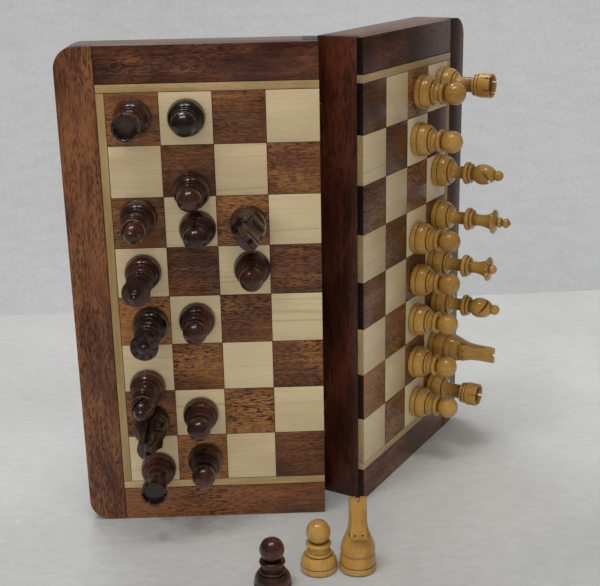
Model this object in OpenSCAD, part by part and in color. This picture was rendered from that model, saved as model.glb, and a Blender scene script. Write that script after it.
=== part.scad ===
// Folding chess box: two shallow trays with a playing face outside, hinged along one long edge,
// standing half open on its short end with its set of magnetic pieces on the faces.
// The origin is the centre of the left half's bottom end, +Z up, the left face towards -Y.

/* [Playing face] */
// Width of one half, from its hinge edge to its outer edge
half_w = 127.5; // [124:0.5:133]
// Height of a half as it stands
half_h = 253.4; // [245.4:0.2:261.4]
// Width of the pale inlaid strip round the squares
strip_w = 4.2; // [2:0.1:8]
// Width of the dark rails at the top and bottom ends
end_rail_w = 18.5; // [16:0.5:30]
// Radius of the two outer corners of a half
corner_r = 11; // [4:0.5:13]
// Thickness of the squares, strips and rails
panel_t = 3.5; // [2:0.1:6]
// Width of the fine joint between neighbouring pieces of wood
seam = 0.3; // [0.1:0.05:0.6]
// Thickness of the glue between pieces that are glued together
glue = 0.05; // [0.02:0.01:0.1]

/* [Tray] */
// Depth of one half, from its playing face to its rim
half_t = 26; // [25:0.5:36]
// Thickness of the tray walls
wall_t = 7; // [6.5:0.1:9]
// Thickness of the steel sheet that the magnets hold to
steel_t = 0.5; // [0.3:0.1:1]
// Thickness of the plywood behind the steel sheet
backing_t = 2; // [1:0.1:3]
// Gap between the walls and the sheets that lie inside them
inner_fit = 0.2; // [0.1:0.05:0.5]

/* [Fold] */
// Angle by which the right half is folded back from lying flat
fold_angle = 57.8; // [0:0.1:175]
// Distance of the hinge axis from each half's edge and rim
hinge_gap = 0.15; // [0.1:0.05:0.3]

/* [Hinges] */
// Height of a hinge
hinge_h = 22; // [16:1:30]
// Distance from the end of the box to the near end of a hinge
hinge_inset = 34; // [20:1:60]
// Radius of the hinge barrel
barrel_r = 2; // [1.8:0.1:2.5]
// Radius of the hinge pin
pin_r = 0.9; // [0.6:0.1:1]
// Radial clearance of the pin in its knuckles
pin_clear = 0.05; // [0.02:0.01:0.08]
// Width of a leaf from the hinge axis
leaf_w = 6.3; // [5.8:0.1:6.5]
// Thickness of a leaf
leaf_t = 1; // [0.8:0.1:1.2]
// Gap between neighbouring knuckles
knuckle_gap = 0.2; // [0.1:0.05:0.4]
// Clearance of the barrel in the notch of the wall
barrel_clear = 0.35; // [0.3:0.05:0.6]
// Radius of a screw's shank
screw_r = 0.8; // [0.6:0.1:1]
// Radius of a screw's head
screw_head_r = 1.6; // [1.4:0.1:1.8]
// Length of a screw under its head
screw_len = 8; // [5:0.5:12]

/* [Closing magnets] */
// Radius of a closing magnet in the rim
catch_r = 2.4; // [1.5:0.1:2.5]
// Thickness of a closing magnet
catch_t = 3; // [2:0.5:5]
// Depth of a closing magnet below the rim
catch_sink = 0.2; // [0:0.1:0.5]
// Distance from the end of the box to a closing magnet
catch_inset = 64; // [40:1:90]

/* [Insert] */
// Gap between the insert and the walls
insert_gap = 0.3; // [0.3:0.1:0.6]
// Thickness of the insert's floor pad
insert_floor = 0.7; // [0.5:0.1:1.5]
// Depth of the insert's face below the rim
insert_sink = 0.4; // [0.3:0.1:2]
// Play of a piece across its slot
slot_play = 1; // [0.4:0.1:2]
// Play of a piece along its slot
slot_end_play = 2; // [1:0.5:4]

/* [Chess pieces] */
// Diameter of the foot of every piece
foot_d = 18.6; // [16:0.1:18.8]
// Height of a pawn
pawn_h = 27; // [25:0.5:30]
// Height of a rook
rook_h = 31; // [29:0.5:36]
// Height of a knight
knight_h = 40; // [37:0.5:42]
// Height of a bishop
bishop_h = 40.5; // [38:0.5:44]
// Height of a queen
queen_h = 40; // [39:0.5:46]
// Height of a king
king_h = 46; // [44:0.5:50]
// Radius of a pawn's round head
pawn_head_r = 6.1; // [4.5:0.1:6.2]
// Thickness of the felt under the foot
felt_t = 0.6; // [0.3:0.1:1]
// Radius of the magnet in the foot
magnet_r = 4; // [3:0.1:5]
// Thickness of the magnet in the foot
magnet_t = 2.5; // [1.5:0.1:3]

/* [Hidden] */

rows = 8;
columns = 4;
eps = 0.01;
over = 1;
round_fn = 64;

// Heights and widths of a half, with its hinge edge at x = 0 and its playing face at y = 0
border_h = end_rail_w + strip_w;
field_h = half_h - 2 * border_h;
square_w = field_h / rows;
field_w = columns * square_w;
rail_x = field_w + strip_w;
cavity_y = panel_t + steel_t + backing_t;

// Place of the hinge axis
hinge_x = half_w / 2 + hinge_gap;
hinge_y = half_t / 2 + hinge_gap;
hinge_places = [hinge_inset, half_h - hinge_inset - hinge_h];
leaf_screws = [0.22, 0.78];
screw_x = (barrel_r + leaf_w) / 2 + 0.25;

// Slots of the insert
slot_columns = rows;
insert_x0 = wall_t + insert_gap;
insert_w = half_w - 2 * insert_x0;
insert_h = half_h - 2 * insert_x0;
insert_y1 = half_t - insert_sink;
slot_pitch = insert_h / slot_columns;
slot_w = foot_d + slot_play;
tall_slot = king_h + slot_end_play;
short_slot = pawn_h + slot_end_play;
band_w = (insert_w - tall_slot - short_slot) / 3;

// Shared foot of the chess pieces
foot_r = foot_d / 2;
disc_h = 2.8;
groove_d = 0.6;
groove_h = 0.5;
dome_h = 4.9;
dome_z = felt_t + disc_h + groove_h;
dome_x = foot_r - 4.3;
dome_back = 0.2;
dome_turn = 59;
step_r = foot_r - 3.5;
step_h = 1.5;
neck_z = dome_z + dome_h + step_h;
rim_soft = 0.45;

// Colours
dark_wood = [0.42, 0.25, 0.15];
rail_wood = [0.36, 0.19, 0.12];
wall_wood = [0.27, 0.12, 0.08];
pale_wood = [0.83, 0.76, 0.62];
strip_wood = [0.72, 0.61, 0.42];
dark_piece = [0.22, 0.12, 0.11];
light_piece = [0.76, 0.59, 0.33];

// Placement of the two halves and of what stands on them
module in_half() translate([hinge_gap, -hinge_gap - half_t, 0]) children();
module in_left() translate([hinge_x, hinge_y, 0]) mirror([1, 0, 0]) in_half() children();
module in_right() translate([hinge_x, hinge_y, 0]) rotate([0, 0, fold_angle]) in_half() children();

// A piece stands on a half at a square, moved by parts of a square away from the hinge edge and up
module on_square(row, column, shift, turn)
    translate([(column + 0.5 + shift[0]) * square_w, 0, border_h + (rows - row - 0.5 + shift[1]) * square_w])
        rotate([90, 0, 0]) rotate([0, 0, turn]) children();

// Front outline of a half, square at the hinge edge and round at the outer corners
module half_outline() {
    square([half_w - corner_r, half_h]);
    translate([0, corner_r]) square([half_w, half_h - 2 * corner_r]);
    for (z = [corner_r, half_h - corner_r])
        translate([half_w - corner_r, z]) circle(r = corner_r, $fn = round_fn);
}

// The outline of a half given a depth from y0 to y1
module half_slab(y0, y1)
    translate([0, y1, 0]) rotate([90, 0, 0]) linear_extrude(y1 - y0) half_outline();

module border_rails() {
    color(rail_wood) {
        intersection() {
            half_slab(0, panel_t);
            translate([rail_x + seam, -over, -over])
                cube([half_w, panel_t + 2 * over, half_h + 2 * over]);
        }
        for (z = [0, half_h - end_rail_w + seam])
            translate([0, 0, z]) cube([rail_x, panel_t, end_rail_w - seam]);
    }
}

module inlay_strips() {
    color(strip_wood) {
        for (z = [end_rail_w, half_h - border_h + seam])
            translate([0, 0, z]) cube([rail_x, panel_t, strip_w - seam]);
        translate([field_w + seam, 0, border_h])
            cube([strip_w - seam, panel_t, field_h]);
    }
}

// The squares whose row and column add up to an even or an odd number
module squares(odd, wood) {
    color(wood)
        for (row = [0 : rows - 1], column = [0 : columns - 1])
            if ((row + column) % 2 == odd)
                translate([column * square_w + (column > 0 ? seam : 0), 0,
                           border_h + (rows - 1 - row) * square_w + (row < rows - 1 ? seam : 0)])
                    cube([square_w - (column > 0 ? seam : 0), panel_t,
                          square_w - (row < rows - 1 ? seam : 0)]);
}

module inner_sheet(y0, t)
    translate([wall_t + inner_fit, y0, wall_t + inner_fit])
        cube([half_w - 2 * (wall_t + inner_fit), t, half_h - 2 * (wall_t + inner_fit)]);

module steel_sheet() color("lightslategray") inner_sheet(panel_t, steel_t);

module backing_panel() color("burlywood") inner_sheet(panel_t + steel_t, backing_t);

// Long wall along the hinge edge, cut for the leaves, barrels and screws of both hinges
module hinge_wall() {
    color(wall_wood)
        difference() {
            translate([0, panel_t, 0]) cube([wall_t, half_t - panel_t, half_h]);
            for (z = hinge_places) {
                translate([-over, half_t - leaf_t, z - seam])
                    cube([over + leaf_w - hinge_gap + seam, leaf_t + over, hinge_h + 2 * seam]);
                translate([-hinge_gap, half_t + hinge_gap, z - seam])
                    cylinder(r = barrel_r + barrel_clear, h = hinge_h + 2 * seam, $fn = round_fn);
                for (s = leaf_screws)
                    translate([screw_x - hinge_gap, half_t - screw_len - 2 * leaf_t, z + s * hinge_h])
                        rotate([-90, 0, 0])
                            cylinder(r = screw_r + pin_clear, h = screw_len + 3 * leaf_t, $fn = 32);
            }
        }
}

// Outer wall with the round corners, and the two end walls between it and the hinge wall
module tray_walls() {
    color(rail_wood) {
        difference() {
            intersection() {
                half_slab(panel_t, half_t);
                translate([half_w - wall_t, 0, -over]) cube([wall_t + over, half_t, half_h + 2 * over]);
            }
            for (z = [catch_inset, half_h - catch_inset])
                translate([half_w - wall_t / 2, half_t - catch_sink - catch_t, z])
                    rotate([-90, 0, 0]) cylinder(r = catch_r + pin_clear, h = catch_t + over, $fn = 48);
        }
        for (z = [0, half_h - wall_t])
            intersection() {
                half_slab(panel_t, half_t);
                translate([wall_t + glue, 0, z])
                    cube([half_w - 2 * (wall_t + glue), half_t, wall_t]);
            }
    }
}

module closing_magnets()
    color("silver")
        for (z = [catch_inset, half_h - catch_inset])
            translate([half_w - wall_t / 2, half_t - catch_sink - catch_t, z])
                rotate([-90, 0, 0]) cylinder(r = catch_r, h = catch_t, $fn = 48);

// Velvet covered insert: a floor pad with long bands and short ribs that leave a slot for each piece
module insert() {
    rib_h = slot_pitch - slot_w;
    foam_y = insert_floor + glue;
    foam_d = insert_y1 - cavity_y - foam_y;
    color([0.13, 0.24, 0.18])
        translate([insert_x0, cavity_y, insert_x0]) {
            cube([insert_w, insert_floor, insert_h]);
            for (x = [0, band_w + tall_slot, insert_w - band_w])
                translate([x, foam_y, 0]) cube([band_w, foam_d, insert_h]);
            for (slot = [[band_w, tall_slot], [2 * band_w + tall_slot, short_slot]])
                for (i = [0 : slot_columns])
                    translate([slot[0] + glue, foam_y, i == 0 ? 0 : i * slot_pitch - rib_h / 2])
                        cube([slot[1] - 2 * glue, foam_d, (i % slot_columns == 0 ? 0.5 : 1) * rib_h]);
        }
}

// One leaf of a hinge about the axis at x = 0, y = 0; it keeps the knuckles listed
module hinge_leaf(knuckles) {
    knuckle_h = (hinge_h - 2 * knuckle_gap) / 3;
    step = knuckle_h + knuckle_gap;
    difference() {
        union() {
            translate([0, -hinge_gap - leaf_t, 0]) cube([leaf_w, leaf_t, hinge_h]);
            for (k = knuckles)
                translate([0, 0, k * step]) cylinder(r = barrel_r, h = knuckle_h, $fn = 48);
        }
        for (k = [0 : 2])
            if (len(search(k, knuckles)) == 0)
                translate([0, 0, k * step - knuckle_gap])
                    cylinder(r = barrel_r + barrel_clear, h = knuckle_h + 2 * knuckle_gap, $fn = 48);
        translate([0, 0, -over]) cylinder(r = pin_r + pin_clear, h = hinge_h + 2 * over, $fn = 48);
        for (s = leaf_screws)
            translate([screw_x, -hinge_gap, s * hinge_h]) rotate([90, 0, 0])
                screw_shape(pin_clear, over);
    }
}

// A countersunk screw with its head's flat face at z = 0 and its point along +Z
module screw_shape(grow, above) {
    translate([0, 0, -above]) cylinder(r = screw_head_r + grow, h = above + eps, $fn = 32);
    cylinder(r1 = screw_head_r + grow, r2 = screw_r + grow, h = screw_head_r - screw_r, $fn = 32);
    cylinder(r = screw_r + grow, h = screw_len, $fn = 32);
}

module leaves(knuckles)
    color("goldenrod")
        for (z = hinge_places)
            translate([-hinge_gap, half_t + hinge_gap, z]) hinge_leaf(knuckles);

module hinge_screws()
    color("gold")
        for (z = hinge_places, s = leaf_screws)
            translate([screw_x - hinge_gap, half_t, z + s * hinge_h])
                rotate([90, 0, 0])
                    difference() {
                        screw_shape(0, 0);
                        translate([-screw_head_r - over, -0.2, -over])
                            cube([2 * (screw_head_r + over), 0.4, over + 0.4]);
                    }

module hinge_pins()
    color("darkgoldenrod")
        for (z = hinge_places)
            translate([-hinge_gap, half_t + hinge_gap, z])
                cylinder(r = pin_r, h = hinge_h, $fn = 48);

// Points of an elliptical arc
function arc(cx, cz, rx, rz, a0, a1, n) =
    [for (i = [0 : n]) let (a = a0 + (a1 - a0) * i / n) [cx + rx * cos(a), cz + rz * sin(a)]];

// A list of points without neighbours that coincide
function tidy(p) = [for (i = [0 : len(p) - 1]) if (i == 0 || norm(p[i] - p[max(i - 1, 0)]) > eps) p[i]];

// Outline of the foot that all pieces share: disc, groove, bell and step
function foot_profile() = concat(
    [[0, felt_t], [foot_r - rim_soft, felt_t]],
    arc(foot_r - rim_soft, felt_t + rim_soft, rim_soft, rim_soft, -45, 0, 2),
    arc(foot_r - rim_soft, felt_t + disc_h - rim_soft, rim_soft, rim_soft, 0, 90, 3),
    [[foot_r - rim_soft - groove_d, felt_t + disc_h], [foot_r - rim_soft - groove_d, dome_z]],
    arc(dome_x, dome_z, foot_r - dome_back - dome_x, dome_h / sin(dome_turn), 0, dome_turn, 9),
    [[step_r + 0.3, dome_z + dome_h]],
    arc(step_r, dome_z + dome_h + step_h / 2, step_h / 2, step_h / 2, -70, 90, 6));

// A hollow curve from the step up to a neck
function cove(neck_r, top_z) =
    arc(step_r, top_z, step_r - neck_r, top_z - neck_z, 270, 180, 6);

// A turned bead of a given radius and height that leans on a neck
function bead(r, z, h) = arc(r - h / 2, z + h / 2, h / 2, h / 2, -80, 80, 6);

neck_cove_h = 2.4;
pawn_neck_r = 4.3;
pawn_cove_h = 1.8;
pawn_collar_r = 6.4;
pawn_collar_h = 2.1;
pawn_head_z = pawn_h - pawn_head_r;
pawn_collar_z = pawn_head_z - pawn_head_r - 1.6;
function pawn_profile() = concat(
    foot_profile(), cove(pawn_neck_r, neck_z + pawn_cove_h),
    [[pawn_neck_r, pawn_collar_z], [pawn_collar_r - 1.2, pawn_collar_z + 0.15]],
    bead(pawn_collar_r, pawn_collar_z + 0.2, pawn_collar_h),
    [[pawn_head_r * cos(62), pawn_head_z - pawn_head_r * sin(62)]],
    arc(0, pawn_head_z, pawn_head_r, pawn_head_r, -58, 90, 18));

rook_neck_r = 4.2;
rook_drum_r = 6.8;
rook_drum_h = 6.9;
rook_drum_edge = 0.8;
rook_ring_h = 1.7;
rook_well_r = 5.4;
rook_well_d = 3.4;
rook_slit_w = 1.2;
rook_slit_d = 2.6;
rook_drum_z = rook_h - rook_drum_h;
rook_ring_z = rook_drum_z - 2 * rook_ring_h - 0.4;
function rook_profile() = concat(
    foot_profile(), cove(rook_neck_r, neck_z + neck_cove_h),
    [[rook_neck_r, rook_ring_z - 0.2]],
    bead(rook_drum_r - 0.7, rook_ring_z, rook_ring_h),
    bead(rook_drum_r - 0.4, rook_ring_z + rook_ring_h + 0.1, rook_ring_h),
    [[rook_drum_r - 1.6, rook_drum_z - 0.15]],
    arc(rook_drum_r - rook_drum_edge, rook_drum_z + rook_drum_edge, rook_drum_edge, rook_drum_edge,
        -85, 0, 5),
    [[rook_drum_r - 0.15, rook_h - 0.3], [rook_drum_r - 0.4, rook_h], [0, rook_h]]);

// Collar of the tall pieces: a thick ring with a smaller one on it
collar_r = 6.5;
collar_h = 2.8;
upper_ring_r = 5.6;
upper_ring_h = 1.4;
function collar(z, r) = concat(
    bead(r, z + 0.2, collar_h), [[upper_ring_r - 0.6, z + collar_h + 0.2]],
    bead(upper_ring_r, z + collar_h + 0.3, upper_ring_h));

bishop_neck_r = 3.6;
bishop_ball_r = 3;
bishop_mitre_r = 5.9;
bishop_mitre_z = bishop_h - 12.2;
bishop_collar_z = bishop_mitre_z - 10.6;
function bishop_profile() = concat(
    foot_profile(), cove(bishop_neck_r, neck_z + neck_cove_h),
    [[bishop_neck_r, bishop_collar_z]],
    collar(bishop_collar_z, collar_r),
    [[bishop_neck_r, bishop_collar_z + 4.9]],
    arc(0, bishop_mitre_z, bishop_mitre_r, 6, -48, 0, 6),
    arc(0, bishop_mitre_z, bishop_mitre_r, 8.2, 0, 64, 9),
    [[bishop_ball_r * 0.7, bishop_h - 4.7]],
    arc(0, bishop_h - bishop_ball_r, bishop_ball_r, bishop_ball_r, -33, 90, 9));

queen_neck_r = 3.6;
queen_waist_r = 3.4;
queen_ball_r = 2.7;
queen_rim_r = 7;
queen_rim_z = queen_h - 4.6;
queen_crown_z = queen_rim_z - 8.6;
queen_collar_z = queen_crown_z - 7.4;
function queen_profile() = concat(
    foot_profile(), cove(queen_neck_r, neck_z + neck_cove_h),
    [[queen_neck_r, queen_collar_z]],
    collar(queen_collar_z, collar_r + 0.2),
    [[queen_waist_r + 0.3, queen_collar_z + 5], [queen_waist_r, queen_crown_z]],
    arc(queen_waist_r + 4.8, queen_crown_z, 4.8, 8.6, 180, 110, 8),
    [[queen_rim_r, queen_rim_z - 0.4], [queen_rim_r - 0.2, queen_rim_z], [5.1, queen_rim_z + 0.3]],
    arc(0, queen_rim_z - 0.6, 4.4, 1.6, 40, 55, 2),
    arc(0, queen_h - queen_ball_r, queen_ball_r, queen_ball_r, -25, 90, 9));

king_neck_r = 3.6;
king_waist_r = 3.3;
king_rim_r = 7;
king_rim_z = king_h - 9.6;
king_crown_z = king_rim_z - 9;
king_collar_z = king_crown_z - 8.2;
king_finial_r = 3;
function king_profile() = concat(
    foot_profile(), cove(king_neck_r, neck_z + neck_cove_h),
    [[king_neck_r, king_collar_z]],
    collar(king_collar_z, collar_r + 0.2),
    [[king_waist_r + 0.4, king_collar_z + 5.1], [king_waist_r, king_crown_z]],
    arc(king_waist_r + 4.7, king_crown_z, 4.7, 9, 180, 110, 8),
    [[king_rim_r, king_rim_z - 0.5], [king_rim_r - 0.3, king_rim_z], [4.6, king_rim_z + 0.5]],
    [[2.5, king_rim_z + 1.3], [1.9, king_rim_z + 1.8]],
    bead(king_finial_r, king_rim_z + 1.9, 2.6),
    [[1.7, king_rim_z + 4.8]],
    bead(king_finial_r - 0.1, king_rim_z + 5.1, 3.4),
    arc(0, king_h - 1.4, 1.4, 1.4, 25, 90, 4));

module turned(profile) rotate_extrude($fn = round_fn) polygon(tidy(profile));

// A piece with the bore of its magnet, the magnet and the felt under both
module on_foot(wood) {
    color(wood)
        difference() {
            children();
            translate([0, 0, felt_t - over])
                cylinder(r = magnet_r + glue, h = over + magnet_t + glue, $fn = 48);
        }
    color("silver") translate([0, 0, felt_t]) cylinder(r = magnet_r, h = magnet_t, $fn = 48);
    color("darkgreen") cylinder(r = foot_r - 2 * rim_soft, h = felt_t - glue, $fn = round_fn);
}

module pawn(wood) on_foot(wood) turned(pawn_profile());

module rook(wood)
    on_foot(wood)
        difference() {
            turned(rook_profile());
            translate([0, 0, rook_h - rook_well_d])
                cylinder(r = rook_well_r, h = rook_well_d + over, $fn = round_fn);
            for (a = [0, 60, 120])
                rotate([0, 0, a])
                    translate([-foot_r, -rook_slit_w / 2, rook_h - rook_slit_d])
                        cube([foot_d, rook_slit_w, rook_slit_d + over]);
        }

bishop_slit_w = 1.3;
bishop_slit_lean = 38;
module bishop(wood)
    on_foot(wood)
        difference() {
            turned(bishop_profile());
            translate([0, -1.2, bishop_mitre_z + 1.2]) rotate([bishop_slit_lean, 0, 0])
                translate([-foot_r, -bishop_slit_w / 2, 0]) cube([foot_d, bishop_slit_w, foot_r]);
        }

queen_notches = 8;
queen_notch_r = 0.7;
module queen(wood)
    on_foot(wood)
        difference() {
            turned(queen_profile());
            for (i = [0 : queen_notches - 1])
                rotate([0, 0, i * 360 / queen_notches])
                    translate([4.2, 0, queen_rim_z + 0.35]) rotate([0, 90, 0])
                        cylinder(r = queen_notch_r, h = 4, $fn = 24);
        }

module king(wood) on_foot(wood) turned(king_profile());

// A smooth curve through the points, with n steps between neighbours
function curve(p, n) = concat(
    [for (i = [0 : len(p) - 2], j = [0 : n - 1])
        let (t = j / n, a = p[max(i - 1, 0)], b = p[i], c = p[i + 1], d = p[min(i + 2, len(p) - 1)])
            (2 * b + (c - a) * t + (2 * a - 5 * b + 4 * c - d) * t * t
             + (3 * b - a - 3 * c + d) * t * t * t) / 2],
    [p[len(p) - 1]]);

// The knight's outlines are drawn on a grid on which its block is 20 wide and 30 high
knight_z = dome_z + 1.2 * dome_h;
knight_r = foot_r - 0.25;
grid_x = knight_r / 10;
grid_z = (knight_h - knight_z) / 30;
knight_steps = 4;
function on_grid(p) = [for (q = p) [q[0] * grid_x, knight_z + q[1] * grid_z]];

// Side views, the face towards +X: the neck and chest, and the slim head
knight_mane = curve([[0.7, 27.3], [-2.9, 26.2], [-6.1, 22.9], [-8.3, 18], [-9.4, 12.6], [-9.7, 6.3]],
                    knight_steps);
knight_neck_side = concat(
    [[-10, 0]],
    curve([[10, 0], [9.7, 2.5], [8.1, 5], [6.6, 7.3], [5.5, 10.1], [5.2, 14.3]], knight_steps),
    [[4.1, 25.8]], knight_mane, [[-10, 1]]);
knight_head_side = concat(
    curve([[4.1, 9.4], [7.2, 9.4], [9.5, 8.9], [10.9, 9.9], [11.4, 11.6], [11, 14.6]], knight_steps),
    curve([[9.7, 18.2], [8, 22.2], [7, 25.4], [5.9, 27.9]], 2),
    [[5, 30]],
    curve([[3.2, 29.2], [2.1, 27.4], [0.7, 27]], 2),
    [[-2.4, 25.4], [-2.8, 15.3]]);

// Half of each front view, from the bottom up
knight_neck_front = curve(
    [[10, 0], [10, 2.7], [9.3, 6.6], [7.6, 11], [5.8, 15.2], [4.9, 19.3], [4.5, 23], [4.5, 26.2]],
    knight_steps);
knight_head_front = concat(
    [[3.2, 8.6]],
    curve([[4.4, 9.8], [5, 12.1], [4.4, 15.2], [3.8, 18.5], [3.9, 23], [4.4, 26.5], [4.9, 30]], 3));
function flip(p) = [for (i = [len(p) - 1 : -1 : 0]) [-p[i][0], p[i][1]]];

// The block that shows one outline from the side and the other from the front
module two_views(side, front_half)
    intersection() {
        rotate([90, 0, 90]) linear_extrude(2 * foot_d, center = true)
            mirror([1, 0, 0]) polygon(tidy(on_grid(side)));
        rotate([90, 0, 0]) linear_extrude(2 * foot_d, center = true)
            polygon(tidy(on_grid(concat(front_half, flip(front_half)))));
    }

// A place on the knight by its grid: to the side, forward and up
module at_grid(side, forward, up)
    translate([side * grid_x, -forward * grid_x, knight_z + up * grid_z]) children();

knight_edge = 0.7;
mane_cut_r = 0.55;
fork_w = 3.6;
fork_d = 2.6;
nostril_r = 0.5;
eye_r = 0.85;
cheek_r = 3.3;
cheek_groove = 0.5;
mouth_w = 0.5;
module knight_head()
    difference() {
        union() {
            intersection() {
                two_views(knight_neck_side, knight_neck_front);
                rotate_extrude($fn = round_fn)
                    polygon(concat(
                        [[0, knight_z], [knight_r - knight_edge, knight_z]],
                        arc(knight_r - knight_edge, knight_z + knight_edge, knight_edge, knight_edge,
                            -60, 0, 4),
                        [[knight_r, knight_h], [0, knight_h]]));
            }
            two_views(knight_head_side, knight_head_front);
        }
        // Fork between the ears
        translate([0, 0, knight_h]) rotate([90, 0, 0]) linear_extrude(2 * foot_d, center = true)
            polygon([[0, -fork_d], [fork_w, fork_d], [-fork_w, fork_d]]);
        // Locks of the mane, cut across the back of the neck
        for (i = [1 : 2 : len(knight_mane) - 2])
            at_grid(0, knight_mane[i][0] - 0.2, knight_mane[i][1])
                rotate([0, 90, 0]) cylinder(r = mane_cut_r, h = 2 * foot_d, center = true, $fn = 16);
        // Nostrils, eyes and the round groove behind each cheek
        for (side = [-1, 1]) {
            at_grid(side * 2.25, 9.6, 14.1) rotate([76, 0, 0]) cylinder(r = nostril_r, h = 4, $fn = 16);
            at_grid(side * 3.2, 5.5, 21.6) rotate([0, side * 90, 0]) cylinder(r = eye_r, h = 2, $fn = 20);
            at_grid(side * 4.9, 4, 15.9) rotate([0, side * 90, 0])
                difference() {
                    cylinder(r = cheek_r, h = foot_r, $fn = 40);
                    translate([0, 0, -over]) cylinder(r = cheek_r - cheek_groove, h = foot_d, $fn = 40);
                    translate([-foot_r, 0, -over]) cube([foot_d, foot_r, foot_d]);
                }
        }
        // Mouth
        at_grid(0, 10.2, 10.5) rotate([8, 0, 0]) cube([2 * foot_d, 4, mouth_w], center = true);
    }

// The knight's foot has a plain band in place of the bell
function knight_foot() = concat(
    [for (p = foot_profile()) if (p[1] <= dome_z) p],
    curve([[knight_r, dome_z], [knight_r, dome_z + 0.6], [knight_r - 0.1, dome_z + 3.6],
           [knight_r - 0.7, knight_z]], 3),
    [[knight_r - 0.7, knight_z + 2 * eps], [0, knight_z + 2 * eps]]);

module knight(wood)
    on_foot(wood)
        union() {
            rotate_extrude($fn = round_fn) polygon(tidy(knight_foot()));
            knight_head();
        }

// Each piece on the left half by its square, counted from the hinge edge and from the top
module dark_set(which) {
    if (which == "rook_1") in_left() on_square(0, 3, [0, 0.046], 20) rook(dark_piece);
    if (which == "rook_2") in_left() on_square(7, 3, [-0.077, -0.2], 0) rook(dark_piece);
    if (which == "knight_1") in_left() on_square(2, 1, [-0.1, -0.038], -132) knight(dark_piece);
    if (which == "knight_2") in_left() on_square(6, 3, [0, -0.138], -81) knight(dark_piece);
    if (which == "bishop_1") in_left() on_square(2, 3, [0, 0.138], 110) bishop(dark_piece);
    if (which == "bishop_2") in_left() on_square(5, 3, [0.038, -0.369], 120) bishop(dark_piece);
    if (which == "queen") in_left() on_square(4, 3, [-0.1, -0.038], 10) queen(dark_piece);
    if (which == "king") in_left() on_square(3, 3, [-0.019, 0.038], 0) king(dark_piece);
    if (which == "pawn_1") in_left() on_square(0, 2, [-0.008, 0.031], 0) pawn(dark_piece);
    if (which == "pawn_2") in_left() on_square(1, 2, [-0.038, -0.369], 0) pawn(dark_piece);
    if (which == "pawn_3") in_left() on_square(2, 2, [-0.115, -0.115], 0) pawn(dark_piece);
    if (which == "pawn_4") in_left() on_square(3, 1, [-0.138, 0.062], 0) pawn(dark_piece);
    if (which == "pawn_5") in_left() on_square(4, 2, [-0.019, 0.023], 0) pawn(dark_piece);
    if (which == "pawn_6") in_left() on_square(6, 2, [0, 0], 0) pawn(dark_piece);
    if (which == "pawn_7") in_left() on_square(7, 2, [-0.046, -0.031], 0) pawn(dark_piece);
    if (which == "pawn_8") in_front([1.33, -3.26], 0) pawn(dark_piece);
}

// The pieces that stand on the table, by their place from the origin in squares
module in_front(place, turn)
    translate([place[0] * square_w, place[1] * square_w, 0]) rotate([0, 0, turn]) children();

loose_knight = [2.969, -2.69];
loose_gap = 0.9;
beside_knight = [-foot_d - loose_gap, 0.6, 0];
module light_set(which) {
    if (which == "rook_1") in_right() on_square(0, 3, [0.169, 0.05], 15) rook(light_piece);
    if (which == "rook_2") in_right() on_square(7, 3, [-0.062, -0.008], 40) rook(light_piece);
    if (which == "knight_1") in_right() on_square(6, 3, [-0.008, 0.023], -92) knight(light_piece);
    if (which == "knight_2") in_front(loose_knight, 0) knight(light_piece);
    if (which == "bishop_1") in_right() on_square(2, 3, [0.046, 0.146], -40) bishop(light_piece);
    if (which == "bishop_2") in_right() on_square(5, 3, [0.108, 0.062], -150) bishop(light_piece);
    if (which == "queen") in_right() on_square(4, 3, [-0.1, 0.069], 0) queen(light_piece);
    if (which == "king") in_right() on_square(3, 3, [0.046, 0.115], 0) king(light_piece);
    if (which == "pawn_1") in_right() on_square(0, 2, [0.069, 0.012], 0) pawn(light_piece);
    if (which == "pawn_2") in_right() on_square(1, 2, [-0.035, 0.023], 0) pawn(light_piece);
    if (which == "pawn_3") in_right() on_square(3, 2, [-0.035, -0.138], 0) pawn(light_piece);
    if (which == "pawn_4") in_right() on_square(4, 2, [0.004, -0.108], 0) pawn(light_piece);
    if (which == "pawn_5") in_right() on_square(5, 2, [-0.05, -0.019], 0) pawn(light_piece);
    if (which == "pawn_6") in_right() on_square(6, 2, [-0.065, -0.019], 0) pawn(light_piece);
    if (which == "pawn_7") in_right() on_square(7, 2, [0.058, -0.05], 0) pawn(light_piece);
    if (which == "pawn_8") in_front(loose_knight, 0) translate(beside_knight) pawn(light_piece);
}

module left_border_rails() in_left() border_rails();
module left_inlay_strips() in_left() inlay_strips();
module left_dark_squares() in_left() squares(1, dark_wood);
module left_light_squares() in_left() squares(0, pale_wood);
module left_steel_sheet() in_left() steel_sheet();
module left_backing_panel() in_left() backing_panel();
module left_hinge_wall() in_left() hinge_wall();
module left_tray_walls() in_left() tray_walls();
module left_insert() in_left() insert();
module left_hinge_leaves() in_left() leaves([0, 2]);
module left_hinge_screws() in_left() hinge_screws();
module left_closing_magnets() in_left() closing_magnets();
module left_hinge_pins() in_left() hinge_pins();
module right_border_rails() in_right() border_rails();
module right_inlay_strips() in_right() inlay_strips();
module right_dark_squares() in_right() squares(0, dark_wood);
module right_light_squares() in_right() squares(1, pale_wood);
module right_steel_sheet() in_right() steel_sheet();
module right_backing_panel() in_right() backing_panel();
module right_hinge_wall() in_right() hinge_wall();
module right_tray_walls() in_right() tray_walls();
module right_insert() in_right() insert();
module right_hinge_leaves() in_right() leaves([1]);
module right_hinge_screws() in_right() hinge_screws();
module right_closing_magnets() in_right() closing_magnets();

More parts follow.
